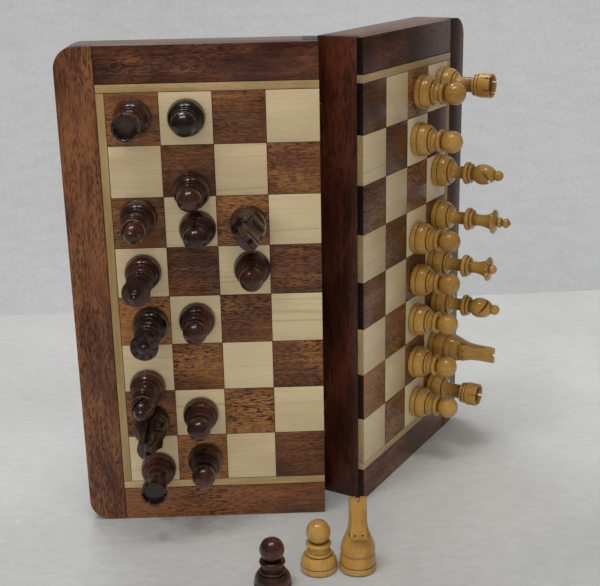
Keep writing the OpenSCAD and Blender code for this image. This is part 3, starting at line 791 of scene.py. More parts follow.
@dataclass
class TrayHalf:
    """One half of the box: the boards of its face, its walls, its insert and its magnets."""

    side: Side
    finishes: Finishes
    glue_depth: float = 0.12
    glue_gap: float = 0.02
    glue_edge: float = 0.15
    rail_edge: float = 0.6
    pad_voxel: float = 1.25
    pad_soften: int = 6
    grain_reach: float = 400
    grain_tilt: float = 0.04
    end_from: float = 0.75
    metals: tuple[tuple[str, str, str], ...] = (
        ("steel_sheet", "steel", "steel"), ("hinge_leaves", "brass", "brass"),
        ("hinge_screws", "screw_brass", "brass"), ("closing_magnets", "nickel", "magnet"),
    )

    def __post_init__(self) -> None:
        """Works out the half's place."""
        self.place = SIZES.place(self.side)
        self.name = self.side.value
        self.body = f"{self.name}_half"

    def own(self, obj: Obj) -> np.ndarray:
        """Returns the points of a piece in this half's own millimetres."""
        back = np.array(self.place.inverted())
        return points_of(obj) @ back[:3, :3].T + back[:3, 3]

    def grain(self, obj: Obj, kind: BoardKind, seed: int) -> None:
        """Stores where each point lies in the grain of its board, and the board's tone.

        Args:
            obj: the piece in the row frame.
            kind: what board it is; level boards have their grain across the half.
            seed: start of the random draws of the boards' tones.
        """
        at = self.own(obj)
        boards = islands(obj)
        count = int(boards.max()) + 1
        draw = random.Random(f"{self.body} {kind.node}")
        shifts = np.array([[draw.uniform(-self.grain_reach, self.grain_reach) for _ in range(3)] for _ in range(count)])
        tilts = np.array([draw.uniform(-self.grain_tilt, self.grain_tilt) for _ in range(count)])
        draw = random.Random(seed)
        tones = np.array([draw.random() for _ in range(count)])
        spans = np.array([np.ptp(at[boards == k], axis=0) for k in range(count)])
        upright = (spans[:, 2] > spans[:, 0])[boards] & (not kind.level)
        along = np.where(upright, at[:, 2], at[:, 0])
        across = np.where(upright, at[:, 0], at[:, 2])
        tilt = tilts[boards]
        rows = np.stack([along + tilt * across, across - tilt * along, at[:, 1]], 1)
        mark(obj, "grain_at", rows + shifts[boards])
        mark(obj, "tone", tones[boards])
        self.end_faces(obj, upright)

    def end_faces(self, obj: Obj, upright: np.ndarray) -> None:
        """Gives the faces across the grain the second material.

        Args:
            obj: the piece in the row frame.
            upright: for each point, whether its board's grain runs upwards.
        """
        back = np.array(self.place.inverted())[:3, :3]
        normals = read(obj.data.polygons, "normal", 3).astype(float) @ back.T
        normals /= np.maximum(np.linalg.norm(normals, axis=1), 1e-9)[:, None]
        for polygon, normal in zip(obj.data.polygons, normals):
            axis = 2 if upright[polygon.vertices[0]] else 0
            polygon.material_index = int(abs(normal[axis]) > self.end_from)

    def work(self, kind: BoardKind) -> None:
        """Makes the boards of one node, with softened edges and grain.

        Args:
            kind: what boards they are.
        """
        node = f"{self.name}_{kind.node}"
        obj = Bench.merged_copy(node, node + "_worked")
        Bench.modify(obj, "BEVEL", width=kind.edge * MM, segments=2, limit_method="ANGLE",
                     angle_limit=math.radians(40), use_clamp_overlap=True)
        Bench.smooth(obj, 50)
        Bench.dress(obj, self.finishes[kind.face], self.finishes[kind.end])
        self.grain(obj, kind, kind.seeds[list(Side).index(self.side)])
        finish_piece(obj, self.body, [node])

    def glue_lines(self) -> None:
        """Lays dark glue in the joints of the face, a little below it."""
        s, gap = SIZES, self.glue_gap
        top, wide = s.height - s.border, s.field_w + s.strip
        rows = [s.border + k * s.square for k in range(1, s.rows)]
        ends = (s.border - s.seam, top, s.end_rail - s.seam, s.height - s.end_rail)
        lines = [((self.glue_edge, z + gap), (s.field_w, z + s.seam - gap)) for z in rows]
        lines += [((self.glue_edge, z + gap), (wide, z + s.seam - gap)) for z in ends]
        for k in range(1, s.columns):
            for low, high in zip((s.border, *(z + s.seam for z in rows)), (*rows, top)):
                lines.append(((k * s.square + gap, low), (k * s.square + s.seam - gap, high)))
        for x, low, high in ((s.field_w, s.border, top), (wide, self.rail_edge, s.height - self.rail_edge)):
            lines.append(((x + gap, low), (x + s.seam - gap, high)))
        parts = [
            Bench.block("glue", (a[0], self.glue_depth, a[1]), (b[0], s.panel - gap, b[1])) for a, b in lines
        ]
        Bench.clear()
        for part in parts:
            part.select_set(True)
        bpy.context.view_layer.objects.active = parts[0]
        bpy.ops.object.join()
        obj = Bench.added(f"{self.name}_joint_glue")
        Bench.put(obj, self.place)
        Bench.dress(obj, self.finishes["glue"])
        finish_piece(obj, self.body, [])

    def insert(self) -> None:
        """Makes the velvet covered insert from its foam blocks, grown together and softened."""
        node = f"{self.name}_insert"
        obj = Bench.merged_copy(node, f"{self.name}_velvet_insert")
        Bench.modify(obj, "REMESH", mode="VOXEL", voxel_size=self.pad_voxel * MM)
        Bench.modify(obj, "SMOOTH", factor=0.5, iterations=self.pad_soften)
        low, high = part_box(node)
        flat = np.clip(points_of(obj), np.array(low), np.array(high))
        obj.data.vertices.foreach_set("co", flat.astype(np.float32).ravel())
        Bench.smooth(obj, 60)
        Bench.dress(obj, self.finishes["green_velvet"])
        finish_piece(obj, self.body, [node])

    def metal(self, node: str, finish: str) -> None:
        """Makes a metal piece with softened edges.

        Args:
            node: its CAD node.
            finish: its finish.
        """
        obj = Bench.merged_copy(node, node + "_worked", flat=False)
        Bench.smooth(obj, 30)
        Bench.dress(obj, self.finishes[finish])
        finish_piece(obj, self.body, [node])

    def build(self) -> None:
        """Makes every piece of the half."""
        for kind in KINDS:
            self.work(kind)
        self.glue_lines()
        self.insert()
        for node, finish, slot in self.metals:
            self.metal(f"{self.name}_{node}", finish)
        if self.side is Side.LEFT:
            self.metal("hinge_pins", "brass")


def bow(cx: float, cz: float, rx: float, rz: float, start: float, end: float, steps: int) -> list[Point]:
    """Returns points on an elliptical arc.

    Args:
        cx: the centre's radius.
        cz: the centre's height.
        rx: the half width.
        rz: the half height.
        start: the first angle in degrees.
        end: the last angle in degrees.
        steps: the number of stretches.

    Returns:
        Points of radius and height.
    """
    angles = [math.radians(start + (end - start) * i / steps) for i in range(steps + 1)]
    return [(cx + rx * math.cos(a), cz + rz * math.sin(a)) for a in angles]


@dataclass(frozen=True)
class Turning:
    """Shared sizes of the turned pieces in millimetres."""

    foot: float = 9.3
    felt: float = 0.6
    disc: float = 2.8
    soft: float = 0.45
    groove: float = 0.6
    groove_h: float = 0.5
    dome: float = 4.9
    dome_in: float = 4.3
    dome_back: float = 0.2
    dome_turn: float = 59.0
    step_in: float = 3.5
    step: float = 1.5

    @property
    def dome_z(self) -> float:
        """Height at which the bell starts."""
        return self.felt + self.disc + self.groove_h

    @property
    def neck_z(self) -> float:
        """Height at which the neck starts."""
        return self.dome_z + self.dome + self.step

    @property
    def step_r(self) -> float:
        """Radius to the middle of the ring on the bell."""
        return self.foot - self.step_in

    def disc_edge(self) -> list[Point]:
        """Draws the felt, disc and groove that all pieces share.

        Returns:
            Points of radius and height.
        """
        f, s = self.foot, self.soft
        top = self.felt + self.disc
        return [
            (0, 0), (f - 1.0, 0), (f - 0.9, 0.1), (f - 0.9, self.felt - 0.05), (f - 1.0, self.felt),
            *bow(f - s, self.felt + s, s, s, -90, 0, 5),
            *bow(f - s, top - s, s, s, 0, 90, 6),
            (f - s - self.groove, top), (f - s - self.groove, self.dome_z),
        ]

    def stem(self, radius: float, rise: float, end: float) -> list[Point]:
        """Draws the disc, the bell with its ring, and the neck of a turned piece.

        Args:
            radius: the neck's radius.
            rise: the height of the hollow curve from the ring up to it.
            end: the height at which it ends.

        Returns:
            Points of radius and height.
        """
        r, bell = self.step / 2, self.dome_z + self.dome
        tall = self.dome / math.sin(math.radians(self.dome_turn))
        wide = self.dome_in - self.dome_back
        return [
            *self.disc_edge(), *bow(self.foot - self.dome_in, self.dome_z, wide, tall, 0, self.dome_turn, 16),
            (self.step_r + 0.3, bell), *bow(self.step_r, bell + r, r, r, -70, 90, 8),
            *bow(self.step_r, self.neck_z + rise, self.step_r - radius, rise, 268, 180, 12), (radius, end),
        ]


def bead(r: float, z: float, h: float) -> list[Point]:
    """Returns a turned bead."""
    return bow(r - h / 2, z + h / 2, h / 2, h / 2, -80, 80, 12)


def collar(r: float, z: float) -> list[Point]:
    """Returns the thick ring of the tall pieces with the smaller one on it."""
    return [*bead(r, z + 0.2, 2.8), (5.0, z + 3.0), *bead(5.6, z + 3.1, 1.4)]


SHAPE = Turning()


class PieceKind(Enum):
    """The six kinds of chess piece."""

    PAWN = "pawn"
    ROOK = "rook"
    KNIGHT = "knight"
    BISHOP = "bishop"
    QUEEN = "queen"
    KING = "king"


class Profiles:
    """Outlines of the turned pieces as points of radius and height, from the middle of the foot up."""

    @staticmethod
    def pawn() -> list[Point]:
        """Draws the pawn.

        Returns:
            Its outline.
        """
        top, r, low = 27.0, 6.1, math.radians(62)
        head = top - r
        z = head - r - 1.6
        return [
            *SHAPE.stem(4.3, 1.8, z), (5.2, z + 0.15), *bead(6.4, z + 0.2, 2.1),
            (r * math.cos(low), head - r * math.sin(low)), *bow(0, head, r, r, -58, 90, 34),
        ]

    @staticmethod
    def rook() -> list[Point]:
        """Draws the rook with its well.

        Returns:
            Its outline.
        """
        top, drum, ring = 31.0, 6.8, 1.7
        z = top - 6.9
        low = z - 2 * ring - 0.4
        return [
            *SHAPE.stem(4.2, 2.4, low - 0.2), *bead(drum - 0.7, low, ring),
            *bead(drum - 0.4, low + ring + 0.1, ring), (drum - 1.6, z - 0.15),
            *bow(drum - 0.8, z + 0.8, 0.8, 0.8, -85, 0, 8), (drum - 0.1, top - 0.5),
            *bow(drum - 0.45, top - 0.35, 0.35, 0.35, 0, 90, 4), (5.6, top), (5.4, top - 0.2),
            (5.4, top - 3.1), (5.1, top - 3.4), (2.5, top - 3.6), (0, top - 3.7),
        ]

    @staticmethod
    def knight() -> list[Point]:
        """Draws the bottle that the knight is carved from.

        Returns:
            Its outline.
        """
        return [
            *SHAPE.disc_edge(), (8.8, 4.0), (9.0, 4.3), (9.05, 5.2), (8.95, 7.2), (8.6, 8.8), (8.2, 9.6), (7.8, 9.9),
            (8.3, 10.05), (8.65, 10.5), (8.7, 11.2), (8.65, 12.4), (8.3, 14), (7.85, 15.4), (7.3, 16.9), (6.75, 18.2),
            (6.2, 19.6), (5.75, 21), (5.35, 22.4), (5.05, 23.8), (4.8, 25.4), (4.65, 27), (4.55, 30), (4.5, 40),
            (0, 40),
        ]

    @staticmethod
    def bishop() -> list[Point]:
        """Draws the bishop.

        Returns:
            Its outline.
        """
        top, ball, mitre = 40.5, 3.0, 5.9
        z = top - 12.2
        low = z - 10.6
        return [
            *SHAPE.stem(3.6, 2.4, low), *collar(6.5, low), (3.6, low + 4.9), *bow(0, z, mitre, 6, -48, 0, 10),
            *bow(0, z, mitre, 8.2, 4, 64, 16), (2.1, top - 4.7), *bow(0, top - ball, ball, ball, -33, 90, 14),
        ]

    @staticmethod
    def queen() -> list[Point]:
        """Draws the queen.

        Returns:
            Its outline.
        """
        top, ball, rim = 40.0, 2.7, 7.0
        z = top - 4.6
        crown = z - 8.6
        low = crown - 7.4
        return [
            *SHAPE.stem(3.6, 2.4, low), *collar(6.7, low), (3.7, low + 5), (3.4, crown),
            *bow(8.2, crown, 4.8, 8.6, 180, 110, 14), (rim, z - 0.4), (rim - 0.05, z - 0.1), (rim - 0.2, z),
            (5.1, z + 0.3), *bow(0, z - 0.6, 4.4, 1.6, 40, 55, 3), *bow(0, top - ball, ball, ball, -25, 90, 14),
        ]

    @staticmethod
    def king() -> list[Point]:
        """Draws the king.

        Returns:
            Its outline.
        """
        top, rim = 46.0, 7.0
        z = top - 9.6
        crown = z - 9
        low = crown - 8.2
        return [
            *SHAPE.stem(3.6, 2.4, low), *collar(6.7, low), (3.7, low + 5.1), (3.3, crown),
            *bow(8.0, crown, 4.7, 9, 180, 110, 14), (rim, z - 0.5), (rim - 0.05, z - 0.15), (rim - 0.3, z),
            (4.6, z + 0.5), (2.5, z + 1.3), (1.9, z + 1.8), *bead(3.0, z + 1.9, 2.6), (1.7, z + 4.8),
            *bead(2.9, z + 5.1, 3.4), *bow(0, top - 1.4, 1.4, 1.4, 25, 90, 8),
        ]


@dataclass
class Lathe:
    """Turns outlines into round pieces, in millimetres about the z axis."""

    steps: int = 56
    weld: float = 0.002

    def turn(self, name: str, profile: Sequence[Point]) -> Obj:
        """Spins an outline, drawn point by point, about z.

        Args:
            name: the object's name.
            profile: points of radius and height that start and end on the axis.

        Returns:
            The closed piece.
        """
        obj = Bench.trace(name, [(r, 0, z) for r, z in profile])
        bpy.ops.mesh.spin(steps=self.steps, angle=math.tau, center=(0, 0, 0), axis=(0, 0, 1))
        Bench.close(self.weld)
        return obj


def paint_groove_shade(
    obj: Obj, profile: Sequence[Point], reach: float = 0.5, sharp: Point = (0.25, 1.2), inside: float = 0.9
) -> None:
    """Stores how much painted shade each point of a turned piece gets from lying in a groove, from 0 to 1.

    Args:
        obj: the piece in millimetres about the z axis.
        profile: its outline.
        reach: how far the painted shade spreads from a groove, in millimetres.
        sharp: the turns of the outline that start to get painted shade and that get the most, in radians.
        inside: how far from the outline a cut lies, in millimetres.
    """
    at = points_of(obj)
    flat = np.stack([np.hypot(at[:, 0], at[:, 1]), at[:, 2]], 1)
    total = np.zeros(len(at))
    for (ar, az), (br, bz), (cr, cz) in zip(profile, profile[1:], profile[2:]):
        u, v = Vector((br - ar, bz - az)), Vector((cr - br, cz - bz))
        if min(u.length, v.length) < DOUBLE or bz < SHAPE.felt:
            continue
        turn = -math.atan2(u.x * v.y - u.y * v.x, u.dot(v))
        if turn > sharp[0]:
            off = np.linalg.norm(flat - np.array((br, bz)), axis=1)
            total += min(turn, sharp[1]) * np.exp(-((off / reach) ** 2))
    near = np.min(np.linalg.norm(flat[:, None, :] - np.array(profile)[None, :, :], axis=2), axis=1)
    total += (near > inside) * 0.5
    # Painted shade, stored as the groove attribute: darker at the outline's sharp inward turns and inside the cuts
    mark(obj, "groove", np.clip(total, 0, 1) * 0.8)


@dataclass
class Carver:
    """Makes one master of each kind of piece, in millimetres about the z axis, its front towards -y."""

    lathe: Lathe = field(default_factory=Lathe)
    weld: float = 0.004
    crisp: float = 42
    knight_voxel: float = 0.2
    knight_keep: float = 0.3
    # The knight's head and cuts as places forward and up, and its head's half width and height from the front
    knight_side: tuple[Point, ...] = (
        (0, 19.4), (6.8, 19.5), (7.4, 19.9), (7.7, 20.8), (7.7, 22.4), (7.0, 24.4), (5.8, 27), (4.7, 31), (3.7, 35.8),
        (3.3, 36.1), (2.7, 40), (0, 40),
    )
    knight_front: tuple[Point, ...] = (
        (4.1, 19), (4.5, 21.2), (4.2, 23.4), (3.7, 25.4), (3.4, 28.4), (3.6, 33), (4.0, 36.5), (4.3, 40.5),
    )
    knight_cuts: tuple[tuple[str, tuple[Point, ...]], ...] = (
        ("chest", ((8.8, 11.4), (7.4, 13), (6.9, 15), (5.8, 17), (4.9, 18.2), (4.2, 18.9), (4.2, 19.3), (14, 19.9),
                   (14, 11.4))),
        ("face", ((4.7, 31), (3.7, 35.8), (3.3, 36.1), (2.4, 44), (14, 44), (14, 31))),
        ("crest", ((0.4, 44), (0.1, 38.6), (-0.6, 37.6), (-2, 37), (-6, 34.2), (-14, 34.2), (-14, 44))),
    )
    masters: dict[PieceKind, Obj] = field(default_factory=dict)

    def make(self, kind: PieceKind) -> Obj:
        """Makes the master of a kind of piece when it is first asked for.

        Args:
            kind: the kind.

        Returns:
            The master.
        """
        if kind not in self.masters:
            self.masters[kind] = self.knight() if kind is PieceKind.KNIGHT else self.turned(kind)
        return self.masters[kind]

    def turned(self, kind: PieceKind) -> Obj:
        """Turns a piece, cuts its slits or notches and stores the painted shade of its recesses.

        Args:
            kind: the kind of piece.

        Returns:
            The finished master.
        """
        profile = getattr(Profiles, kind.value)()
        obj = self.lathe.turn(f"{kind.value}_master", profile)
        for tool in self.tools(kind):
            Bench.cut(obj, tool)
        Bench.edit(obj)
        Bench.close(self.weld)
        Bench.smooth(obj, self.crisp)
        paint_groove_shade(obj, profile)
        return obj

    def tools(self, kind: PieceKind) -> list[Obj]:
        """Makes the cutters of a kind of piece.

        Args:
            kind: the kind of piece.

        Returns:
            The cutters in the order of the cuts.
        """
        made = []
        if kind is PieceKind.ROOK:
            for turn in (0, 60, 120):
                made.append(Bench.block("slit", (-12, -0.6, 28.4), (12, 0.6, 34)))
                Bench.put(made[-1], about(turn))
        if kind is PieceKind.BISHOP:
            made.append(Bench.block("slit", (-9.3, -0.65, 0), (9.3, 0.65, 9.3)))
            Bench.put(made[0], Matrix.Translation((0, -1.2, 29.5)) @ about(38, "X"))
        if kind is PieceKind.QUEEN:
            for turn in range(0, 360, 45):
                made.append(Bench.rod("notch", (6.2, 0, 35.75), 0.7, 4, "X"))
                Bench.put(made[-1], about(turn))
        if kind is PieceKind.KNIGHT:
            made += [Bench.prism(name, outline) for name, outline in self.knight_cuts]
            made.append(Bench.prism("fork", [(0, 37.7), (1.7, 41), (-1.7, 41)]))
            Bench.put(made[-1], about(90))
            made += [Bench.rod("lock", (0, r + 0.15, z), 0.6, 24, "X") for r, z in Profiles.knight() if 12 < z < 35]
            for side in (-1, 1):
                low, high = sorted((4.25 * side, 12 * side))
                made.append(Bench.block("cheek", (low, -12, 19.3), (high, -2.2, 25.5)))
                made.append(Bench.rod("nostril", (1.9 * side, -7.8, 22.4), 0.6, 2.6, "Y"))
                made.append(Bench.rod("eye", (4.6 * side, -1.5, 32), 0.8, 2, "X"))
        return made

    def knight(self) -> Obj:
        """Turns the knight's bottle, carves its head, works the edges soft and stores the painted shade of its
        recesses.

        Returns:
            The finished master.
        """
        obj = self.lathe.turn("knight_master", Profiles.knight())
        head = Bench.prism("head", self.knight_side)
        front = Bench.prism("front", [*self.knight_front, *[(-x, z) for x, z in reversed(self.knight_front)]])
        Bench.put(front, about(90))
        Bench.cut(head, front, "INTERSECT")
        Bench.cut(obj, head, "UNION")
        for tool in self.tools(PieceKind.KNIGHT):
            Bench.cut(obj, tool)
        Bench.modify(obj, "REMESH", mode="VOXEL", voxel_size=self.knight_voxel)
        Bench.modify(obj, "SMOOTH", factor=0.5, iterations=1)
        Bench.modify(obj, "DECIMATE", decimate_type="COLLAPSE", ratio=self.knight_keep)
        Bench.smooth(obj, 60)
        self.paint_hollow_shade(obj)
        return obj

    @staticmethod
    def paint_hollow_shade(obj: Obj, deepest: float = 0.05) -> None:
        """Stores how much painted shade each point of the knight gets from how deep it lies in a hollow, from 0 to 1.

        Args:
            obj: the knight's master.
            deepest: the depth in millimetres that counts as 1.
        """
        at = points_of(obj)
        a, b = read(obj.data.edges, "vertices", 2, np.int32).T
        normal = read(obj.data.vertices, "normal", 3)
        links = np.maximum(np.bincount(a, minlength=len(at)) + np.bincount(b, minlength=len(at)), 1)

        def around(values: np.ndarray) -> np.ndarray:
            """Averages a value over the neighbours of each point.

            Args:
                values: a row of numbers for each point.

            Returns:
                The averages, in rows.
            """
            total = np.zeros_like(values)
            np.add.at(total, a, values[b])
            np.add.at(total, b, values[a])
            return total / links[:, None]

        depth = np.sum((around(at) - at) * normal, axis=1)[:, None]
        for _ in range(3):
            depth = around(depth) * 0.5 + depth * 0.5
        # Painted shade, stored as the groove attribute: darker the deeper a point lies in a hollow
        mark(obj, "groove", np.clip(depth[:, 0] / deepest, 0, 1) * 0.75)


class Colouring(Enum):
    """The two colours of the set."""

    DARK = "dark"
    LIGHT = "light"


@dataclass(frozen=True)
class Stand:
    """Where a piece stands: on a half at a square, or on the table."""

    node: str
    half: Optional[Side]
    row: int = 0
    column: int = 0
    shift: Point = (0, 0)
    turn: float = 0

    @property
    def kind(self) -> PieceKind:
        """Which kind of piece it is."""
        return PieceKind(self.node.split("_")[1])

    @property
    def colouring(self) -> Colouring:
        """Which colour it has."""
        return Colouring(self.node.split("_")[0])

    def place(self) -> Matrix:
        """Works out the move from the master's millimetres to the row frame.

        Returns:
            The matrix.
        """
        q, (right, up) = SIZES.square, self.shift
        spin = about(self.turn)
        if self.half is None:
            return Matrix.Translation((right * q * MM, up * q * MM, 0)) @ Matrix.Scale(MM, 4) @ spin
        rows_below = SIZES.rows - self.row - 0.5 + up
        spot = Matrix.Translation(((self.column + 0.5 + right) * q, 0, SIZES.border + rows_below * q))
        return SIZES.place(self.half) @ spot @ about(90, "X") @ spin


LEFT, RIGHT = Side.LEFT, Side.RIGHT
STANDS = (
    Stand("dark_rook_1", LEFT, 0, 3, (0, 0.046), 20),
    Stand("dark_rook_2", LEFT, 7, 3, (-0.077, -0.2)),
    Stand("dark_knight_1", LEFT, 2, 1, (-0.1, -0.038), -132),
    Stand("dark_knight_2", LEFT, 6, 3, (0, -0.138), -81),
    Stand("dark_bishop_1", LEFT, 2, 3, (0, 0.138), 110),
    Stand("dark_bishop_2", LEFT, 5, 3, (0.038, -0.369), 120),
    Stand("dark_queen", LEFT, 4, 3, (-0.1, -0.038), 10),
    Stand("dark_king", LEFT, 3, 3, (-0.019, 0.038)),
    Stand("dark_pawn_1", LEFT, 0, 2, (-0.008, 0.031)),
    Stand("dark_pawn_2", LEFT, 1, 2, (-0.038, -0.369)),
    Stand("dark_pawn_3", LEFT, 2, 2, (-0.115, -0.115)),
    Stand("dark_pawn_4", LEFT, 3, 1, (-0.138, 0.062)),
    Stand("dark_pawn_5", LEFT, 4, 2, (-0.019, 0.023)),
    Stand("dark_pawn_6", LEFT, 6, 2, (0, 0)),
    Stand("dark_pawn_7", LEFT, 7, 2, (-0.046, -0.031)),
    Stand("dark_pawn_8", None, shift=(1.33, -3.26)),
    Stand("light_rook_1", RIGHT, 0, 3, (0.169, 0.05), 15),
    Stand("light_rook_2", RIGHT, 7, 3, (-0.062, -0.008), 40),
    Stand("light_knight_1", RIGHT, 6, 3, (-0.008, 0.023), -92),
    Stand("light_knight_2", None, shift=(2.969, -2.69)),
    Stand("light_bishop_1", RIGHT, 2, 3, (0.046, 0.146), -40),
    Stand("light_bishop_2", RIGHT, 5, 3, (0.108, 0.062), -150),
    Stand("light_queen", RIGHT, 4, 3, (-0.1, 0.069)),
    Stand("light_king", RIGHT, 3, 3, (0.046, 0.115)),
    Stand("light_pawn_1", RIGHT, 0, 2, (0.069, 0.012)),
    Stand("light_pawn_2", RIGHT, 1, 2, (-0.035, 0.023)),
    Stand("light_pawn_3", RIGHT, 3, 2, (-0.035, -0.138)),
    Stand("light_pawn_4", RIGHT, 4, 2, (0.004, -0.108)),
    Stand("light_pawn_5", RIGHT, 5, 2, (-0.05, -0.019)),
    Stand("light_pawn_6", RIGHT, 6, 2, (-0.065, -0.019)),
    Stand("light_pawn_7", RIGHT, 7, 2, (0.058, -0.05)),
    Stand("light_pawn_8", None, shift=(2.969 - 19.5 / 26, -2.69 + 0.6 / 26)),
)


@dataclass
class ChessSet:
    """All the chess pieces, each a copy of its kind's master."""

    finishes: Finishes
    carver: Carver = field(default_factory=Carver)
    first_seed: int = 900
    grain_reach: float = 300

    def build(self) -> None:
        """Sets up every piece and deletes the masters."""
        for number, stand in enumerate(STANDS):
            self.set_up(stand, number)
        for master in self.carver.masters.values():
            bpy.data.objects.remove(master)

    def set_up(self, stand: Stand, number: int) -> None:
        """Copies a master to its place and gives it its wood and felt.

        Args:
            stand: where it stands.
            number: its number, which picks its part of the grain.
        """
        master = self.carver.make(stand.kind)
        obj = Bench.hang(stand.node + "_turned", master.data.copy())
        obj.data.name = obj.name
        draw = random.Random(self.first_seed + number)
        at = points_of(obj)
        shift = np.array([draw.uniform(-self.grain_reach, self.grain_reach) for _ in range(3)])
        mark(obj, "grain_at", at[:, [2, 0, 1]] + shift)
        mark(obj, "tone", np.full(len(at), draw.random()))
        Bench.dress(obj, self.finishes[f"piece_{stand.colouring.value}"], self.finishes["felt"])
        for polygon in obj.data.polygons:
            polygon.material_index = int(polygon.center.z < SHAPE.felt - 0.02)
        Bench.put(obj, stand.place())
        self.compare(obj, stand.node)
        finish_piece(obj, stand.node, [stand.node])

    @staticmethod
    def compare(obj: Obj, node: str) -> None:
        """Logs how far a piece's box is from its CAD node's.

        Args:
            obj: the piece.
            node: the CAD node.
        """
        low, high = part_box(node)
        at = points_of(obj)
        off = max(np.abs(at.min(0) - np.array(low)).max(), np.abs(at.max(0) - np.array(high)).max())
        log.info("%s is within %.2f mm of its node's box", obj.name, off / MM)


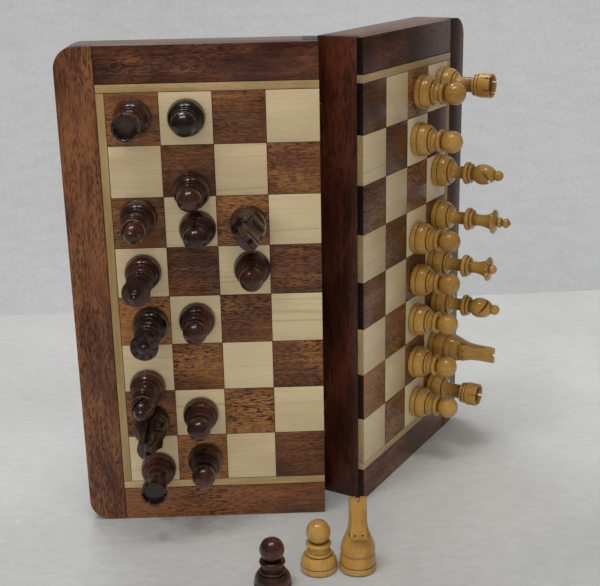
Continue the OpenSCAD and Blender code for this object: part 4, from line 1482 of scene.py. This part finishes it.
@dataclass
class Studio:
    """The floor, the backdrop's colour, the lights and the camera."""

    camera_at: tuple[float, float, float] = (0.03905, -0.56465, 0.3087)
    camera_right: tuple[float, float, float] = (0.99934, -0.03066, -0.01956)
    camera_up: tuple[float, float, float] = (0.02817, 0.31246, 0.94951)
    lens: float = 67.99
    sensor: float = 36.0
    sky: Point = (0.35, 0.78)
    dim: Colour = (0.58, 0.535, 0.475)
    room: float = 0.09
    floor_size: tuple[float, float, float] = (6, 3.5, 1)
    floor_back: tuple[float, float, float] = (0.065, 0.3445, 0)
    floor_turn: float = 2.6
    # Painted shade on the floor: places between which the floor's colour darkens towards the front and towards the
    # left, and its share of the colour at each
    painted_front_shade: tuple[float, float, Point] = (-0.38, 0.04, (0.52, 1.0))
    painted_left_shade: tuple[float, float, Point] = (-0.35, 0.35, (0.82, 1.0))
    wall_edge: Point = (0.1, 0.45)

    def camera(self) -> None:
        """Makes the camera at the photograph's viewpoint."""
        data = bpy.data.cameras.new("camera")
        data.lens, data.sensor_width, data.sensor_fit = self.lens, self.sensor, "HORIZONTAL"
        data.clip_start, data.clip_end = 0.02, 30
        right, up = Vector(self.camera_right).normalized(), Vector(self.camera_up).normalized()
        back = right.cross(up).normalized()
        up = back.cross(right).normalized()
        turn = Matrix((right, up, back)).transposed().to_4x4()
        obj = Bench.hang("camera", data)
        obj.matrix_world = Matrix.Translation(self.camera_at) @ turn
        bpy.context.scene.camera = obj

    def floor(self) -> None:
        """Makes the pale floor, which ends behind the box at the foot of the backdrop, with painted shade towards the
        front and the left and painted glints on its foam.
        """
        x, y, _ = self.floor_back
        Bench.clear()
        middle = (x, y - self.floor_size[1] / 2, 0)
        bpy.ops.mesh.primitive_grid_add(x_subdivisions=4, y_subdivisions=4, size=1, location=middle)
        obj = Bench.added("floor", self.floor_size)
        back = Matrix.Translation(self.floor_back)
        obj.data.transform(back @ about(self.floor_turn) @ back.inverted())
        p = Paint("floor_foam")
        at = p.here()
        beads_and_glints = p.noise(at, 300, 2, 0.6)
        creases = p.noise(p.stretch(at, (1, 1.8, 1)), 110, 3, 0.6)
        colour = p.mix(p.span(p.noise(at, 9), 0.3, 0.7), srgb("cdcfcd"), srgb("d9dbd9"))
        x, y, _ = p.parts(at)
        # Painted shade: the floor darkens towards the front and the left, where the box's shadow falls; its creases
        # vary it a little
        shade = p.maths("MULTIPLY", p.span(y, *self.painted_front_shade), p.span(x, *self.painted_left_shade))
        shade = p.maths("MULTIPLY", shade, p.span(creases, 0.35, 0.65, (0.95, 1.03)))
        colour = p.mix(1.0, colour, shade, "MULTIPLY")
        # Painted glints: near-white specks mixed into the colour where the bead noise is high; the same noise also
        # gives the foam its real bump
        colour = p.mix(p.span(beads_and_glints, 0.66, 0.76, (0.0, 0.35)), colour, srgb("f2f4f2"))
        p.set(Base_Color=colour, Roughness=0.6)
        p.bump(p.maths("ADD", beads_and_glints, creases), 0.4, 0.0005)
        Bench.dress(obj, p.material)

    def world(self) -> None:
        """Lights the room softly from above, and shows a pale wall behind the box and a dimmer room around."""
        world = bpy.data.worlds.new("studio")
        bpy.context.scene.world = world
        world.use_nodes = True
        n = Nodes(world.node_tree)
        at = n.add("ShaderNodeTexCoord").outputs["Generated"]
        x, y, z = n.parts(at)
        low, high = self.sky
        sky = n.steps(z, (0.0, (low,) * 3), (0.25, (low,) * 3), (1.0, (high,) * 3))
        sky = n.mix(1.0, sky, n.mix(n.span(x, -1.0, 1.0), (1.0,) * 3, self.dim), "MULTIPLY")
        wall = n.steps(n.noise(at, 3), (0.3, srgb("b7b8b7")), (0.7, srgb("c3c4c3")))
        grit = n.steps(n.noise(at, 420), (0.35, (0.93,) * 3), (0.65, (1.0,) * 3))
        wall = n.mix(1.0, wall, grit, "MULTIPLY")
        brushed = n.steps(n.noise(n.stretch(at, (1, 1, 3.5)), 45, 3), (0.35, (0.95,) * 3), (0.6, (1.0,) * 3))
        wall = n.mix(1.0, wall, brushed, "MULTIPLY")
        facing = n.maths("SUBTRACT", y, n.maths("MULTIPLY", n.maths("ABSOLUTE", x), 0.6))
        seen = n.mix(n.span(facing, *self.wall_edge), (self.room,) * 3, wall)
        path = n.add("ShaderNodeLightPath").outputs
        direct = n.maths("MAXIMUM", path["Is Camera Ray"], path["Is Glossy Ray"])
        direct = n.maths("MAXIMUM", direct, path["Is Transmission Ray"])
        both = n.add("ShaderNodeBackground", n.mix(direct, sky, seen))
        n.add("ShaderNodeOutputWorld", both.outputs[0])

    @staticmethod
    def lamp(
        name: str, at: Sequence[float], to: Sequence[float], size: float, power: float, shiny: bool = True
    ) -> None:
        """Adds a square soft lamp.

        Args:
            name: its name.
            at: where it hangs, in metres.
            to: what it points at.
            size: the length of its side.
            power: its power in watts.
            shiny: whether glossy surfaces mirror it.
        """
        data = bpy.data.lights.new(name, "AREA")
        data.shape, data.size, data.energy = "SQUARE", size, power
        obj = Bench.hang(name, data)
        obj.location = at
        obj.rotation_mode = "QUATERNION"
        obj.rotation_quaternion = (Vector(to) - Vector(at)).to_track_quat("-Z", "Y")
        obj.visible_glossy = shiny

    def build(self) -> None:
        """Makes the whole studio."""
        self.camera()
        self.floor()
        self.world()
        self.lamp("overhead_left", (-0.5, -0.45, 2.0), (0.0, 0.0, 0.12), 0.35, 7)
        self.lamp("overhead_right", (0.15, -0.35, 2.0), (0.05, 0.0, 0.12), 0.35, 6)
        self.lamp("behind", (-0.3, 0.8, 1.5), (0.0, 0.0, 0.1), 0.5, 6)
        self.lamp("low_front", (-0.1, -1.4, 0.3), (0.0, 0.0, 0.08), 0.9, 10, shiny=False)
        bpy.context.scene.view_settings.view_transform = "Standard"


def main() -> None:
    """Builds the studio, the halves and the set."""
    logging.basicConfig(level=logging.INFO, format="%(name)s: %(message)s")
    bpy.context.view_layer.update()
    Studio().build()
    finishes = Finishes()
    for side in Side:
        TrayHalf(side, finishes).build()
    ChessSet(finishes).build()
    Bench.clear()


if __name__ == "__main__":
    main()
